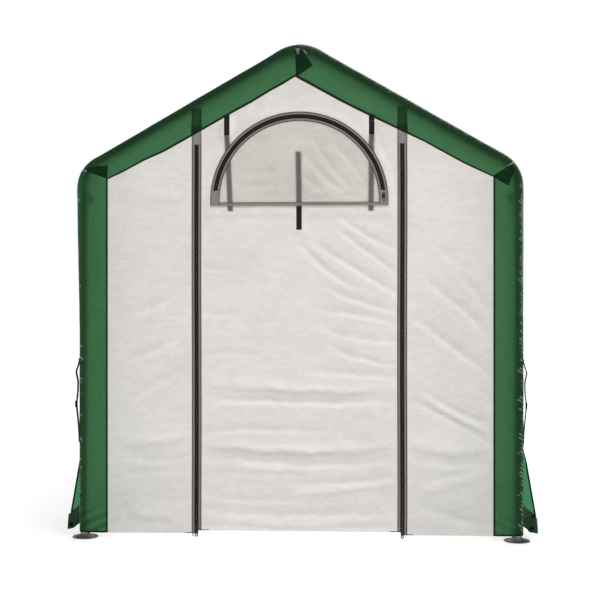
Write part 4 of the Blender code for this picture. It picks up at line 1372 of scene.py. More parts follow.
@dataclass
class Slider:
    """A zip's slider, shaped over its plain CAD solid, with the bail that its pull hangs from.

    Attributes:
        name: the CAD node that it stands for.
        body: the body that it moves with.
        x, z: the slider's own middle.
        length, width: over its plates.
        turn: of the slider about the depth axis, 0 where the zip runs upwards.
        end: which end it is at.
    """

    name: str
    body: str
    x: float
    z: float
    length: float = 0.026
    width: float = 0.0136
    turn: float = 0.0
    end: End = End.FRONT

    def plate(self, low: float, high: float) -> Piece:
        """One of the slider's two plates, waisted towards its lower end.

        Args:
            low, high: depths of its two faces from the end rib.

        Returns:
            The plate, round the world's origin, with the zip running along Z.
        """
        item = primitive("cube", size=1.0, location=(0.0, 0.0, 0.0))
        with editing():
            bpy.ops.transform.resize(value=(self.width, high - low, self.length))
            bpy.ops.mesh.subdivide(number_cuts=3)
        for vert in item.data.vertices:
            share = vert.co.z / self.length + 0.5
            vert.co.x *= 0.80 + 0.20 * math.sin(math.pi * min(1.0, 0.25 + 0.75 * share)) if share < 0.9 else 0.86
            vert.co.y += (low + high) / 2
        modified(item, "BEVEL", width=0.0004, segments=2)
        return item

    def bail(self) -> Piece:
        """The bridge on the front plate that holds the pull.

        Returns:
            The bridge, in front of the plates.
        """
        item = ring(0.0066, 0.0007, 28, turn=(0.0, math.pi / 2, 0.0))
        with editing():
            bpy.ops.transform.resize(value=(1.5, 0.40, 1.05))
            bpy.ops.mesh.bisect(plane_co=(0.0, 0.0, 0.0), plane_no=(0.0, 1.0, 0.0), clear_inner=True, use_fill=True)
            bpy.ops.transform.translate(value=(0.0, 0.0227, 0.0))
        return item

    def build(self) -> None:
        """Join the plates, the wedge between them and the bail, and put them in place."""
        web = self.plate(0.0170, 0.0225)
        for vert in web.data.vertices:
            vert.co.x *= 0.07
            vert.co.z = vert.co.z * 0.45 + self.length * 0.22
        parts = [self.plate(0.01665, 0.01785), self.plate(0.02165, 0.02285), web, self.bail()]
        item = joined(f"{self.name}_cast", parts, Finishes.slider)
        placed(item, self.turn, self.x, self.z, self.end)
        dress(item, self.body, "zip_metal", self.name)


def placed(item: Piece, turn: float, x: float, z: float, end: End) -> None:
    """Turn a piece about Y and move it to its place at an end.

    Args:
        item: the piece, round the origin, with its depths from the end rib as Y.
        turn: from X towards Z.
        x, z: its place.
        end: which end it goes to.
    """
    c, s = math.cos(turn), math.sin(turn)
    for vert in item.data.vertices:
        across, depth, along = vert.co
        vert.co = (x + across * c - along * s, depth_of(end, depth), z + across * s + along * c)
    faced(item)


@dataclass
class Pull:
    """The tab that hangs from a slider's bail: a small eye, a flat neck and a loop to hold it by.

    Attributes:
        side: which zip.
        top: height of its upper edge.
        length: of the tab.
        depth: of its middle.
    """

    side: Side
    top: float = 0.0417
    length: float = 0.032
    depth: float = 0.02425

    def build(self) -> None:
        """Build the pull in the place of its node."""
        x, y = self.side.value * ZIP_LINE, depth_of(End.FRONT, self.depth)
        parts = []
        for across, high, wire, middle in ((0.0026, 0.0034, 0.0008, self.top - 0.0042),
                                           (0.0046, 0.0058, 0.0021, self.top - self.length + 0.0079)):
            parts.append(ring(across, wire, 36))
            with editing():
                bpy.ops.transform.resize(value=(1.0, 0.5, high / across))
                bpy.ops.transform.translate(value=(x, y, middle))
        parts.append(block((0.00496, 0.0012, 0.0125), (x, y, self.top - 0.0135), 0.0003))
        name = f"{self.side.word}_zip_pull"
        dress(joined(f"{name}_cast", parts, Finishes.slider), f"{self.side.word}_pull", "zip_metal", name)


@dataclass
class Vent:
    """A half-moon vent: zipped flap, arc tapes with their coils, and the screen behind.

    Attributes:
        end: which end it is at.
        flap_radius, screen_radius: of the flap's cloth and of the screen.
        tape_width: of one tape.
        inset: angle where the flap's tape starts.
        parked: angle where the slider stands.
        half_sill: half the length of the level edge's seam tape.
        coils: the maker of its coils.
        folds: creases of the flap.
    """

    end: End
    flap_radius: float = 0.331
    screen_radius: float = 0.3577
    tape_width: float = 0.019
    inset: float = math.radians(7.0)
    parked: float = math.radians(3.5)
    half_sill: float = 0.356
    coils: CoilMaker = CoilMaker(pitch=0.0040)
    folds: Folds = creases(
        (0.045, 1.610, 0.225, 1.395, 0.013, 0.0030), (0.005, 1.560, 0.200, 1.372, 0.012, 0.0032),
        (-0.010, 1.480, 0.120, 1.365, 0.013, 0.0024), (0.110, 1.620, 0.280, 1.420, 0.014, 0.0022),
        (-0.260, 1.400, -0.060, 1.415, 0.012, 0.0016), (-0.240, 1.455, -0.050, 1.470, 0.012, 0.0014),
        (0.040, 1.383, 0.220, 1.392, 0.010, -0.0022))

    @property
    def prefix(self) -> str:
        """What the vent's node names start with."""
        return "vent" if self.end is End.FRONT else "rear_vent"

    @property
    def carrier(self) -> str:
        """The body that the vent's fixed pieces move with."""
        return "door" if self.end is End.FRONT else "root"

    @property
    def dip(self) -> float:
        """How far the arc runs on below its centre, as an angle."""
        return math.asin((VENT_CENTRE - VENT_SEAM) / VENT_RADIUS)

    def moon(self, name: str, radius: float, floor: float, depth: float, material: Material,
             folds: Folds = ()) -> Piece:
        """A half disc of cloth on a grid of columns.

        Args:
            name: the piece's name.
            radius: round the vent's centre.
            floor: height of its level lower edge.
            depth: of its outer face.
            material: its finish.
            folds: its creases.

        Returns:
            The half disc.
        """
        dip = math.asin((VENT_CENTRE - floor) / radius)
        turns = np.linspace(math.pi + dip - 0.012, -dip + 0.012, 97)
        share = np.linspace(0.0, 1.0, 44)[:, None]
        top = np.maximum(VENT_CENTRE + radius * np.sin(turns), floor + 0.0004)
        z = floor + (top - floor) * share
        x = radius * np.cos(turns) + 0.0 * z
        inside = radius - np.hypot(x, z - VENT_CENTRE)
        lift, shade = 0.0 * x, 0.0 * x
        if folds:
            calm = faded(inside - 0.02, 0.05) * faded(z - floor, 0.03)
            lift = np.abs(calm * (lifted(folds, x, z) + 0.0010 + 0.0008 * ripple(3 * x, 3 * z, 0.2)))
            # Painted light and shade on the flap's creases.
            shade = slope(lift, x, z, 0.6)
        y = depth_of(self.end, depth) + self.end.value * lift
        return ClothGrid(name, stacked(x, y, z), np.minimum(inside, z - floor), shade=shade,
                         mirrored=self.end is End.REAR).build(material)

    def arc_tape(self, name: str, hand: int, start: float, body: str) -> None:
        """One tape of the arc zip.

        Args:
            name: the CAD node that it stands for.
            hand: +1 for the tape outside the arc's middle line, -1 for the one inside.
            start: angle where it starts.
            body: the body that it moves with.
        """
        turns = np.linspace(start, math.pi - start, 110)[:, None]
        across = np.linspace(0.0, 1.0, 6)
        reach = across * self.tape_width
        radius = VENT_RADIUS + hand * (0.0001 + (self.tape_width - 0.0001) * across)
        points = stacked(radius * np.cos(turns), depth_of(self.end, TAPE_FRONT), VENT_CENTRE + radius * np.sin(turns))
        item = ClothGrid(f"{name}_weave", points, self.tape_width - reach, stacked(reach, VENT_RADIUS * turns), reach,
                         mirrored=hand * self.end.value > 0).build(Finishes.tape)
        dress(item, body, "zip_tape", name)

    def tape_end(self, hand: int, layer: int) -> None:
        """The plain end of a tape, which stays sewn to the frame beside the seam.

        Args:
            hand: +1 for the end at +X, -1 for the one at -X.
            layer: +1 for the tape outside the arc's middle line, -1 for the one inside.
        """
        turns = np.linspace(-self.dip, self.inset - 0.006, 12)[:, None]
        radius = np.sort(VENT_RADIUS + np.linspace(0.0001, self.tape_width, 6) * layer)
        points = stacked(hand * radius * np.cos(turns), depth_of(self.end, TAPE_FRONT),
                         VENT_CENTRE + radius * np.sin(turns))
        edge = self.tape_width - np.abs(radius - VENT_RADIUS)
        word = ("right" if hand > 0 else "left") + ("_outer" if layer > 0 else "_inner")
        item = ClothGrid(f"{self.prefix}_{word}_tape_end", points, edge, stacked(radius, VENT_RADIUS * turns), edge,
                         mirrored=hand * self.end.value > 0).build(Finishes.plain_tape)
        dress(item, self.carrier, "zip_tape")

    def sill(self, height: float, hand: int, body: str) -> None:
        """A strip of seam tape along the level edge.

        Args:
            height: of the strip.
            hand: -1 for the strip under the seam, +1 for the one over it.
            body: the body that it moves with.
        """
        x = np.linspace(-self.half_sill, self.half_sill, 60)
        share = np.linspace(0.0, 1.0, 4)[:, None]
        base = VENT_SEAM + 0.0008 * np.sin(9.0 * x) * (1.0 - (np.abs(x) / self.half_sill) ** 2)
        points = stacked(x, depth_of(self.end, 0.01935), base + hand * (0.0002 + height * share))
        reach = height * (1 - share)
        item = ClothGrid(f"{self.prefix}_sill_{'upper' if hand > 0 else 'lower'}", points, reach + 0.004, inner=reach,
                         mirrored=hand * self.end.value > 0).build(Finishes.seam_tape)
        dress(item, body, "zip_tape")

    def pull(self) -> None:
        """The slider's own tab, a pressed loop that lies along the tape below it."""
        item = ring(0.0034, 0.0009, 28, 6)
        for vert in item.data.vertices:
            vert.co.y = 0.0236 + vert.co.y * 0.8
            vert.co.z = vert.co.z * 1.3 + math.copysign(0.0058, vert.co.z) - 0.0090
        placed(item, self.parked, VENT_RADIUS, VENT_CENTRE + 0.0150, self.end)
        item = joined(f"{self.prefix}_zip_pull", [item], Finishes.slider)
        dress(item, f"{self.prefix}_slider", "zip_metal")

    def build(self) -> None:
        """Build the vent."""
        flap_name, screen_name = f"{self.prefix}_flap", f"{self.prefix}_screen"
        flap = self.moon(f"{flap_name}_film", self.flap_radius, VENT_SEAM + 0.0004, WALL_FRONT, Finishes.flap,
                         self.folds)
        dress(flap, flap_name, "translucent_cloth", flap_name)
        screen = self.moon(f"{screen_name}_cloth", self.screen_radius, VENT_SEAM - 0.012, 0.01625, Finishes.screen)
        dress(screen, self.carrier, "screen", screen_name)
        self.arc_tape(f"{self.prefix}_frame_tape", 1, self.inset - 0.005, self.carrier)
        self.arc_tape(f"{self.prefix}_flap_tape", -1, self.inset, flap_name)
        for hand in (1, -1):
            for layer in (1, -1):
                self.tape_end(hand, layer)
        self.sill(0.0035, -1, self.carrier)
        self.sill(0.0060, 1, flap_name)
        Slider(f"{self.prefix}_zip_slider", f"{self.prefix}_slider", VENT_RADIUS * math.cos(self.parked),
               VENT_CENTRE + VENT_RADIUS * math.sin(self.parked), length=0.020, turn=-self.parked, end=self.end).build()
        self.pull()
        for hand, body, label in ((1, self.carrier, "frame"), (-1, flap_name, "flap")):
            radius = VENT_RADIUS + hand * self.coils.offset
            begin = self.inset + 0.02
            sweep = math.pi - 2 * begin
            count = int(radius * sweep / self.coils.pitch)
            turns = [begin + sweep * (index + (0.5 if hand > 0 else 0.0)) / count for index in range(count)]
            places = [((radius * math.cos(turn), depth_of(self.end, 0.0210), VENT_CENTRE + radius * math.sin(turn)),
                       -turn) for turn in turns]
            self.coils.lay(f"{self.prefix}_{label}_coil", body, places)


@dataclass
class Door:
    """The door panel, which hangs from its seam between the two zips.

    Attributes:
        columns, rows: cells of its grid.
        fold_edge: from the middle to where the zips keep it flat.
        folds: its creases.
    """

    columns: int = 108
    rows: int = 214
    fold_edge: float = 0.402
    folds: Folds = creases(
        (-0.020, 1.200, 0.110, 1.080, 0.009, 0.0022), (0.050, 1.190, 0.402, 0.969, 0.014, 0.0046),
        (0.020, 1.150, 0.240, 0.995, 0.013, 0.0036), (0.150, 1.310, 0.402, 1.155, 0.012, 0.0032),
        (0.140, 1.260, 0.402, 1.060, 0.012, 0.0034), (0.100, 1.010, 0.402, 0.909, 0.013, 0.0030),
        (0.060, 0.925, 0.402, 0.864, 0.014, 0.0034), (0.090, 0.845, 0.402, 0.792, 0.013, 0.0028),
        (0.110, 0.780, 0.402, 0.701, 0.012, 0.0032), (-0.010, 0.668, 0.402, 0.654, 0.016, 0.0034),
        (-0.398, 0.619, 0.402, 0.605, 0.022, -0.0044), (-0.398, 0.562, 0.402, 0.560, 0.016, 0.0050),
        (-0.398, 0.431, 0.130, 0.425, 0.013, 0.0030), (-0.398, 0.372, 0.402, 0.368, 0.020, -0.0052),
        (-0.398, 0.322, 0.402, 0.316, 0.020, 0.0046), (-0.398, 0.285, 0.110, 0.268, 0.011, -0.0024),
        (-0.060, 0.222, 0.402, 0.259, 0.012, 0.0032), (-0.040, 0.180, 0.402, 0.231, 0.011, -0.0030),
        (-0.398, 0.172, 0.060, 0.160, 0.014, 0.0024), (-0.398, 0.119, 0.402, 0.103, 0.020, 0.0036),
        (-0.398, 0.074, 0.402, 0.070, 0.018, -0.0034), (-0.398, 0.741, -0.160, 0.735, 0.012, 0.0018),
        (-0.398, 0.907, -0.230, 0.900, 0.011, 0.0015), (-0.398, 1.088, -0.250, 1.078, 0.010, 0.0016),
        (-0.140, 1.075, -0.040, 1.068, 0.010, 0.0012))

    def build(self) -> None:
        """Build the panel with the hole for its vent."""
        heights = np.linspace(DOOR_FLOOR, DOOR_TOP - 0.0004, self.rows + 1)[:, None]
        half = np.interp(heights, [DOOR_SHOULDER, DOOR_TOP], [DOOR_EDGE, DOOR_TOP_EDGE])
        x = half * np.linspace(-1, 1, self.columns + 1)
        x, z, keep = cut_half_moon(x, np.repeat(heights, x.shape[1], 1))
        away = np.abs(x)
        beside_vent = np.maximum(np.hypot(x, z - VENT_CENTRE) - 0.365, VENT_SEAM - 0.03 - z)
        calm = faded(z - DOOR_FLOOR, 0.02) * faded(beside_vent, 0.03)
        tie = faded(np.maximum(away - 0.013, 1.235 - z), 0.02)
        tie = tie * faded(np.maximum(np.abs(away - 0.291) - 0.013, 1.610 - z), 0.02)
        lift = (lifted(self.folds, x, z) + 0.0024 + 0.0011 * ripple(2.4 * x, 2.2 * z, 1.9)) * calm * tie
        # Painted light and shade on the creases' slopes, and painted shade darkening the panel towards the floor.
        shade = slope(lift, x, z, 0.75) * faded(self.fold_edge - away, 0.012) - 0.06 * hump(z - DOOR_FLOOR, 0.30)
        y = depth_of(End.FRONT, WALL_FRONT) - np.abs(lift * faded(0.390 - away, 0.03))
        item = ClothGrid("door_panel_film", stacked(x, y, z), z - DOOR_FLOOR, keep=keep, shade=shade).build(
            Finishes.panel)
        dress(item, "door", "translucent_cloth", "door_panel")


@dataclass
class DoorTies:
    """The straps that hold the rolled door and the open vent, in front of the cloth and behind it.

    Attributes:
        spread: between the two door ties.
        width, thickness: of the webbing.
        seam, slot, foot: heights of the door ties' seam, the slot they pass through and their lower ends.
    """

    spread: float = 0.582
    width: float = 0.022
    thickness: float = 0.0009
    seam: float = 1.6796
    slot: float = 1.6246
    foot: float = 1.3186

    def strap(self, name: str, end: End, route: Sequence[Triple], count: int) -> Piece:
        """One strap.

        Args:
            name: the piece's name.
            end: which end it is at.
            route: X, depth and height of points on its way.
            count: of points along it.

        Returns:
            The strap.
        """
        line = smooth_path(route, count) if count else np.array(route)
        line[:, 1] = end.value * (RIB.end_plane + line[:, 1])
        return strip(name, line, self.width, (-end.value, 0.0, 0.0), self.thickness)

    def build(self) -> None:
        """Build the two door ties, their sewn ends above the door, and the vents' ties."""
        seam, slot = self.seam, self.slot
        for side, lean in ((Side.LEFT, 0.0145), (Side.RIGHT, 0.003)):
            x = side.value * self.spread / 2
            tilt = -side.value * lean
            item = self.strap(f"{side.word}_door_tie_strap", End.FRONT, (
                (x, 0.0198, seam), (x, 0.0200, seam - 0.02), (x, 0.0199, slot + 0.004), (x, 0.0190, slot),
                (x, 0.0158, slot - 0.0008), (x + tilt * 0.1, 0.0155, slot - 0.02),
                (x + tilt * 0.6, 0.0155, slot - 0.17), (x + tilt, 0.0155, self.foot)), 44)
            dress(item, "door", "black_webbing", f"{side.word}_door_tie")
            item = self.strap(f"{side.word}_door_tie_end", End.FRONT,
                              [(x, 0.01985, seam + 0.0004 + 0.0030 * index) for index in range(10)], 0)
            dress(item, "root", "black_webbing")
        seat = VENT_SEAM - 0.0035
        item = self.strap("vent_tie_strap", End.FRONT, (
            (0.0, 0.0199, seat - 0.098), (0.0, 0.0201, seat - 0.05), (0.0, 0.0199, seat - 0.008),
            (0.0, 0.0190, seat - 0.0015), (0.0, 0.0180, seat), (0.0, 0.0178, seat + 0.004),
            (-0.001, 0.0178, seat + 0.1), (-0.003, 0.0178, seat + 0.216)), 44)
        dress(item, "door", "black_webbing", "vent_tie")
        item = self.strap("rear_vent_tie_strap", End.REAR, (
            (0.0, 0.0199, seat - 0.098), (0.0, 0.0201, seat - 0.05), (0.0, 0.0200, seat - 0.0005)), 16)
        dress(item, "root", "black_webbing")


@dataclass
class Curtain:
    """A roll-up side curtain with a green border, which flares out to the pipe in its pocket.

    Attributes:
        side: which curtain.
        top, flare_top: heights where it starts and where it leaves the legs' plane.
        half_length: from the middle to its front and rear edges.
        pipe_height, pipe_out: the pipe's place.
        pocket_radius: of the pocket round the pipe.
        seam: height of the pocket's seam.
        lift: how far the pipe goes up; not used.
        belly: how far the front corner bulges outwards.
        folds: its creases, in Y and Z.
    """

    side: Side
    top: float = 1.425
    flare_top: float = 0.360
    half_length: float = 1.180
    pipe_height: float = 0.045
    pipe_out: float = 0.92945
    pocket_radius: float = 0.0145
    seam: float = 0.097
    lift: float = 1.240
    folds: Folds = creases(
        (-0.90, 1.30, -0.35, 1.02, 0.022, 0.0040), (-0.75, 1.36, -0.15, 1.12, 0.020, 0.0034),
        (0.25, 1.34, 0.80, 1.05, 0.022, 0.0038), (-0.85, 0.72, -0.20, 0.55, 0.020, 0.0042),
        (-0.95, 0.50, -0.10, 0.46, 0.024, -0.0040), (0.15, 0.62, 0.95, 0.54, 0.022, 0.0044),
        (0.10, 0.90, 0.60, 0.98, 0.018, 0.0030), (0.45, 0.36, 0.98, 0.42, 0.018, 0.0036),
        (-0.55, 0.88, -0.05, 0.80, 0.018, 0.0030))

    @property
    def belly(self) -> float:
        """How far the front corner bulges outwards."""
        return 0.014 if self.side is Side.RIGHT else 0.0

    def section(self) -> tuple[Array, Array]:
        """The cloth's outlines as distances from the middle and heights.

        Returns:
            The line from the top to the seam, and the loop from there round the pipe.
        """
        start = np.array([RIB.half_width + SIDE_OUT + 0.0009, self.flare_top])
        middle = np.array([self.pipe_out, self.pipe_height])

        def touching(point: Array, side: int) -> float:
            """Direction from the pipe's middle to where a line from a point touches the pocket."""
            away = point - middle
            return math.atan2(away[1], away[0]) + side * math.acos(self.pocket_radius / np.linalg.norm(away))

        turn = touching(start, -1)
        foot = middle + self.pocket_radius * np.array([math.cos(turn), math.sin(turn)])
        seam = start + (foot - start) * (self.flare_top - self.seam) / (self.flare_top - foot[1])
        inner = seam - np.array([0.0018, 0.0])
        back = touching(inner, 1) - 2 * math.pi
        angles = np.linspace(turn, back, 21)
        circle = middle + self.pocket_radius * stacked(np.cos(angles), np.sin(angles))

        def run(first: Array, last: Array, count: int, whole: bool = False) -> Array:
            """Points from the first to the last, which is left out unless the whole run is asked for."""
            return first + (last - first) * np.linspace(0.0, 1.0, count + 1)[:count + whole, None]

        cloth = np.concatenate([run(np.array([start[0], self.top]), start, 58), run(start, seam, 18, True)])
        loop = np.concatenate([run(seam, foot, 5), circle, run(circle[-1], inner, 5, True)[1:]])
        return cloth, loop

    def build(self) -> None:
        """Build the curtain and its pocket."""
        sign, word = self.side.value, self.side.word
        y = np.linspace(-self.half_length, self.half_length, 110)
        y = np.concatenate([y[:1], y, y[-1:]])[:, None]
        ends = self.half_length - np.abs(y)
        front = self.belly * hump(y + self.half_length, 0.12)
        line, loop = self.section()
        out, z = line.T
        run = run_along(line)
        free = faded(ends, 0.15) * faded(z - self.seam, 0.1) * faded(self.top - z, 0.2)
        wave = 0.0022 * (1 + ripple(1.6 * y, 0.8 * z, 0.5 + sign)) + 0.0016 * (1 + np.sin(9 * y + 1.5 * z))
        crease = lifted(self.folds, *np.broadcast_arrays(y, z)) * free
        # Painted light and shade on the creases' slopes.
        down = np.gradient(crease, axis=1) / np.minimum(np.gradient(z), -1e-4)
        along = np.gradient(crease, axis=0) / np.maximum(np.gradient(y, axis=0), 1e-4)
        shade = np.clip(0.6 * (0.9 * down + 0.4 * along), -0.2, 0.15)
        flared = out + free * (wave + np.abs(crease)) + front * faded(self.flare_top + 0.10 - z, 0.16)
        flared[[0, -1]] -= 0.0072 * faded(self.flare_top + 0.02 - z, 0.10)
        turned = 0.0 * y
        turned[[0, -1], 0] = 0.0012, -0.0012
        edge = np.minimum(ends, 0.5 * (run[-1] - run) + 0.03)
        item = ClothGrid(f"{word}_curtain_cloth", stacked(sign * flared, y + turned, z), edge, stacked(y, run),
                         shade=shade, mirrored=sign > 0).build(Finishes.curtain)
        dress(item, "root", "translucent_cloth", f"{word}_curtain")
        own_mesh(item)
        out, z = loop.T
        run = run_along(loop)
        points = stacked(sign * (out + front * np.clip((z - 0.055) / 0.042, 0.0, 1.0)), y, z)
        across, up = out - self.pipe_out, z - self.pipe_height
        points[[0, -1], :, 0] = sign * (self.pipe_out + 0.60 * across)
        points[[0, -1], :, 2] = self.pipe_height + np.where(up > 0.016, 1.0, 0.60) * up
        edge = np.minimum(ends, np.minimum(run, run[-1] - run))
        item = ClothGrid(f"{word}_pocket_cloth", points, edge, stacked(y, run), shade=0.0 * y,
                         mirrored=sign > 0).build(Finishes.pocket)
        dress(item, f"{word}_bar", "green_cloth")
        for hand in (-1, 1):
            self.end_patch(hand)

    def end_patch(self, hand: int) -> None:
        """Close one end of the pocket with a flat piece of cloth, with a hole for the pipe.

        Args:
            hand: -1 for the front end, +1 for the rear one.
        """
        sign, word = self.side.value, self.side.word
        start, top = 0.8945, 0.0905
        share = np.linspace(0.0, 1.0, 29)
        low = np.interp(share, [0.0, 0.35, 0.62, 0.80, 1.0], [0.056, 0.042, 0.031, 0.0285, 0.0265])
        outer = 0.9475 + self.belly * 0.6 * (hand < 0)
        z = low + (top - low) * np.linspace(0.0, 1.0, 27)[:, None]
        x = start + (outer - start) * share - 0.0045 * np.clip((z - 0.045) / 0.05, 0.0, 1.0) * share ** 2
        middle_x, middle_z = ((part[:-1, :-1] + part[1:, 1:]) / 2 for part in (x, z))
        keep = np.hypot(middle_x - self.pipe_out - 0.004, middle_z - self.pipe_height - 0.002) > 0.0088
        points = stacked(sign * x, hand * (self.half_length + 0.0006), z)
        edge = np.minimum(z - low, top - z) + 0.001
        name = f"{word}_{'front' if hand < 0 else 'rear'}_pocket_end"
        item = ClothGrid(name, points, edge, keep=keep, mirrored=sign * hand > 0).build(Finishes.pocket)
        dress(item, f"{word}_bar", "green_cloth")


@dataclass
class SideStrap:
    """The black strap on the outer face of a front leg, slack between its stitched ends, and its buckle.

    Attributes:
        side: which leg.
        width, thickness: of the webbing.
        stand: how far the cloth under it stands away from the leg.
        height: of the buckle's middle.
        slack: distance from the leg and height along the strap.
    """

    side: Side
    width: float = 0.025
    thickness: float = 0.0014
    stand: float = 0.0048
    height: float = 0.541
    slack: tuple[Pair, ...] = ((0.0, 0.725), (0.0, 0.712), (0.0130, 0.670), (0.0050, 0.630), (0.0060, 0.590),
                               (0.0118, 0.541), (0.0030, 0.450), (0.0, 0.400), (0.0, 0.385))

    def build(self) -> None:
        """Build the strap and its buckle."""
        seat = RIB.half_width + SIDE_OUT + 0.0003 + self.thickness + self.stand
        y, sign, word = depth_of(End.FRONT, 0.0), self.side.value, self.side.word
        line = smooth_path([(sign * (seat + reach), y, z) for reach, z in self.slack], 60)
        item = strip(f"{word}_side_strap_webbing", line, self.width, (0.0, 1.0, 0.0), self.thickness)
        dress(item, "root", "black_webbing", f"{word}_side_strap")
        self.buckle((sign * (seat + 0.0120), y, self.height))

    def buckle(self, place: Triple) -> None:
        """A three-bar slide of moulded plastic on the slack part of the strap.

        Args:
            place: its middle.
        """
        item = primitive("grid", x_subdivisions=3, y_subdivisions=5, size=1.0, location=place,
                         rotation=(0.0, math.pi / 2, 0.0))
        with editing():
            bpy.ops.transform.resize(value=(1.0, 0.034, 0.026))
        bm = bmesh.new()
        bm.from_mesh(item.data)
        middles = {face: face.calc_center_median() for face in bm.faces}
        holes = [face for face, middle in middles.items() if abs(middle.x) < 0.4 and 0.05 < abs(middle.y) < 0.30]
        bmesh.ops.delete(bm, geom=holes, context="FACES")
        bm.to_mesh(item.data)
        bm.free()
        modified(item, "SOLIDIFY", thickness=0.0032, offset=0.0)
        modified(item, "BEVEL", width=0.0006, segments=2)
        dress(joined(f"{self.side.word}_strap_buckle", [item], Finishes.plastic), "root", "black_webbing")


@dataclass
class Foot:
    """A pressed steel foot: a flat disc with a rolled rim, rising in a cone to the collar round the leg.

    Attributes:
        name: the CAD node that it stands for.
        x, y: the leg's place.
        radius: of the disc.
        steps: inset and rise of each ring of its profile, inwards from the rim.
    """

    name: str
    x: float
    y: float
    radius: float = 0.052
    steps: tuple[Pair, ...] = ((0.0012, 0.0012), (0.0022, 0.0), (0.0012, -0.0010), (0.0070, 0.0012), (0.0180, 0.0085),
                               (0.0020, 0.0030), (0.0012, 0.0040))

    def build(self) -> None:
        """Raise the foot from a disc by insets and lifts."""
        item = primitive("cylinder", vertices=56, radius=self.radius, depth=0.0022, location=(self.x, self.y, 0.0011))
        with editing():
            bpy.ops.mesh.select_all(action="DESELECT")
            bm = bmesh.from_edit_mesh(item.data)
            for face in bm.faces:
                face.select = face.normal.z > 0.9
            bmesh.update_edit_mesh(item.data)
            for inset, climb in self.steps:
                bpy.ops.mesh.inset(thickness=inset, depth=0.0)
                bpy.ops.transform.translate(value=(0.0, 0.0, climb))
        dress(joined(f"{self.name}_pressing", [item], Finishes.foot), "root", "foot_steel", self.name)


@dataclass
class RailBolts:
    """The bolts that hold the rails to the ribs: a washer and a hexagon head on each rail's inner face.

    Attributes:
        rail_height, rail_out: the eave rails' place.
        ridge_height: of the ridge rail.
        rail_radius: of the rails.
    """

    rail_height: float = 1.370
    rail_out: float = 0.8395
    ridge_height: float = 1.9295
    rail_radius: float = 0.0127

    def bolt(self, name: str, place: Triple, turn: float) -> None:
        """One bolt's head and washer.

        Args:
            name: the bolt's name.
            place: the middle of the rail's inner face.
            turn: about Y, 0 where the head points down.
        """
        parts = []
        for sides, radius, low, high in ((24, 0.0085, 0.0, 0.0014), (6, 0.0058, 0.0014, 0.0062)):
            parts.append(primitive("cylinder", vertices=sides, radius=radius, depth=high - low,
                                   location=(0.0, 0.0, -(low + high) / 2)))
            bpy.ops.object.transform_apply(location=True, rotation=True, scale=True)
            with editing():
                bpy.ops.mesh.bevel(offset=0.0004, segments=2)
                bpy.ops.transform.rotate(value=-turn, orient_axis="Y", center_override=(0.0, 0.0, 0.0))
                bpy.ops.transform.translate(value=place)
        dress(joined(name, parts, Finishes.steel), "root", "steel")

    def build(self) -> None:
        """Put a bolt beside each rib on each rail."""
        inner = self.rail_out - self.rail_radius
        for rib, y in (("front", -RIB.end_plane + 0.045), ("middle", 0.045), ("rear", RIB.end_plane - 0.045)):
            self.bolt(f"{rib}_ridge_rail_bolt", (0.0, y, self.ridge_height - self.rail_radius), 0.0)
            for side in Side:
                self.bolt(f"{rib}_{side.word}_rail_bolt", (side.value * inner, y, self.rail_height),
                          side.value * math.pi / 2)


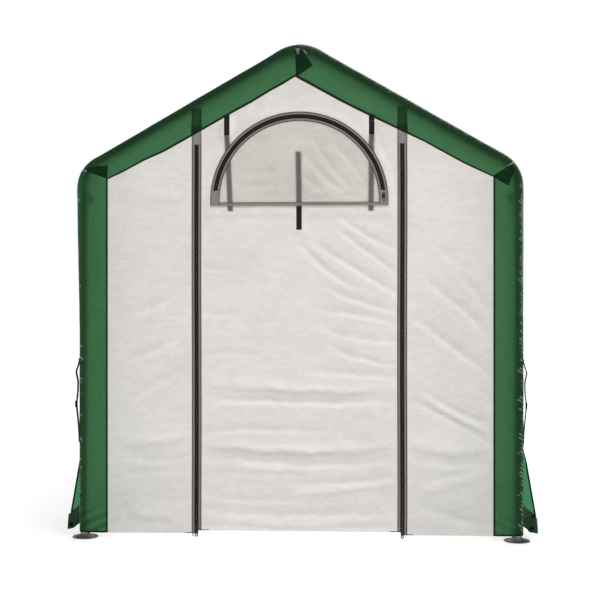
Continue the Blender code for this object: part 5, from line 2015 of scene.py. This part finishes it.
@dataclass
class Studio:
    """Pale floor, plain soft light and the photograph's camera.

    Attributes:
        distance: from the camera to the front of the greenhouse.
        height: of the camera, which looks level.
        yaw: how far the camera stands to the right, in degrees.
        lens: focal length on a sensor 36 mm wide.
        lamps: name, place, size and power of each lamp.
    """

    distance: float = 4.5
    height: float = 0.962
    yaw: float = 2.7
    lens: float = 67.3
    lamps: tuple[tuple[str, Triple, float, float], ...] = (
        ("key", (2.6, -4.6, 3.4), 2.4, 45.0), ("fill", (-3.4, -4.2, 2.2), 3.0, 18.0),
        ("back", (1.7, 4.2, 4.0), 3.4, 95.0))

    def build(self) -> None:
        """Build the floor, the lights and the camera."""
        self.floor()
        self.world()
        for name, place, size, energy in self.lamps:
            lamp = bpy.data.lights.new(name, "AREA")
            lamp.shape, lamp.size, lamp.energy = "SQUARE", size, energy
            self.aimed(linked(name, lamp), Vector(place), Vector((0.0, 0.0, 0.95)))
        data = bpy.data.cameras.new("camera")
        data.lens, data.sensor_width = self.lens, 36.0
        turn = math.radians(self.yaw)
        target = Vector((0.004, depth_of(End.FRONT, 0.019), self.height))
        place = target + self.distance * Vector((math.sin(turn), -math.cos(turn), 0.0))
        bpy.context.scene.camera = linked("camera", data)
        self.aimed(bpy.context.scene.camera, place, target)
        bpy.context.scene.view_settings.view_transform = "Standard"

    @staticmethod
    def aimed(item: Piece, place: Vector, target: Vector) -> None:
        """Put a lamp or a camera in its place and turn it to its target."""
        item.location = place
        item.rotation_euler = (target - place).to_track_quat("-Z", "Y").to_euler()

    @staticmethod
    def floor() -> None:
        """A pale floor that shows white to the camera but keeps the shadow."""
        item = primitive("plane", size=60.0, location=(0.0, 0.0, 0.0))
        item.name = "studio_floor"
        material, nodes, shader = new_material("studio_floor")
        nodes.feed(shader["Base Color"], (0.86, 0.86, 0.86, 1.0))
        nodes.feed(shader["Roughness"], 0.9)
        nodes.feed(shader["Emission Color"], (1.0, 1.0, 1.0, 1.0))
        nodes.feed(shader["Emission Strength"], nodes.maths("MULTIPLY", nodes.directly_seen(), 0.42))
        item.data.materials.append(material)

    @staticmethod
    def world() -> None:
        """An even white surrounding that lights softly and shows white."""
        world = bpy.context.scene.world or bpy.data.worlds.new("studio")
        bpy.context.scene.world = world
        world.use_nodes = True
        world.node_tree.nodes.clear()
        nodes = Nodes(world.node_tree)
        strength = nodes.maths("MULTIPLY_ADD", nodes.directly_seen(), 0.35, 0.65)
        background = nodes.add("Background", {"Color": (1.0, 1.0, 1.0, 1.0), "Strength": strength})
        nodes.add("OutputWorld", {"Surface": background.outputs[0]})


def main() -> None:
    """Build every sub-assembly in order."""
    logging.basicConfig(level=logging.INFO, format="%(name)s: %(message)s")
    for end in End:
        EndWall(end).build()
        Trim(end).build()
        Vent(end).build()
    RoofCover().build()
    Door().build()
    DoorTies().build()
    for side in Side:
        DoorZip(side).build()
        Slider(f"{side.word}_zip_slider", f"{side.word}_slider", side.value * ZIP_LINE, 0.036).build()
        Pull(side).build()
        Curtain(side).build()
        SideStrap(side).build()
    for rib, y in (("front", -RIB.end_plane), ("middle", 0.0), ("rear", RIB.end_plane)):
        for side in Side:
            Foot(f"{rib}_{side.word}_foot_plate", side.value * RIB.half_width, y).build()
    RailBolts().build()
    for name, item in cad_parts.items():
        if name.endswith(("leg", "bend", "rail", "pipe")):
            item.data.materials.clear()
            item.data.materials.append(Finishes.steel)
    Studio().build()


if __name__ == "__main__":
    main()
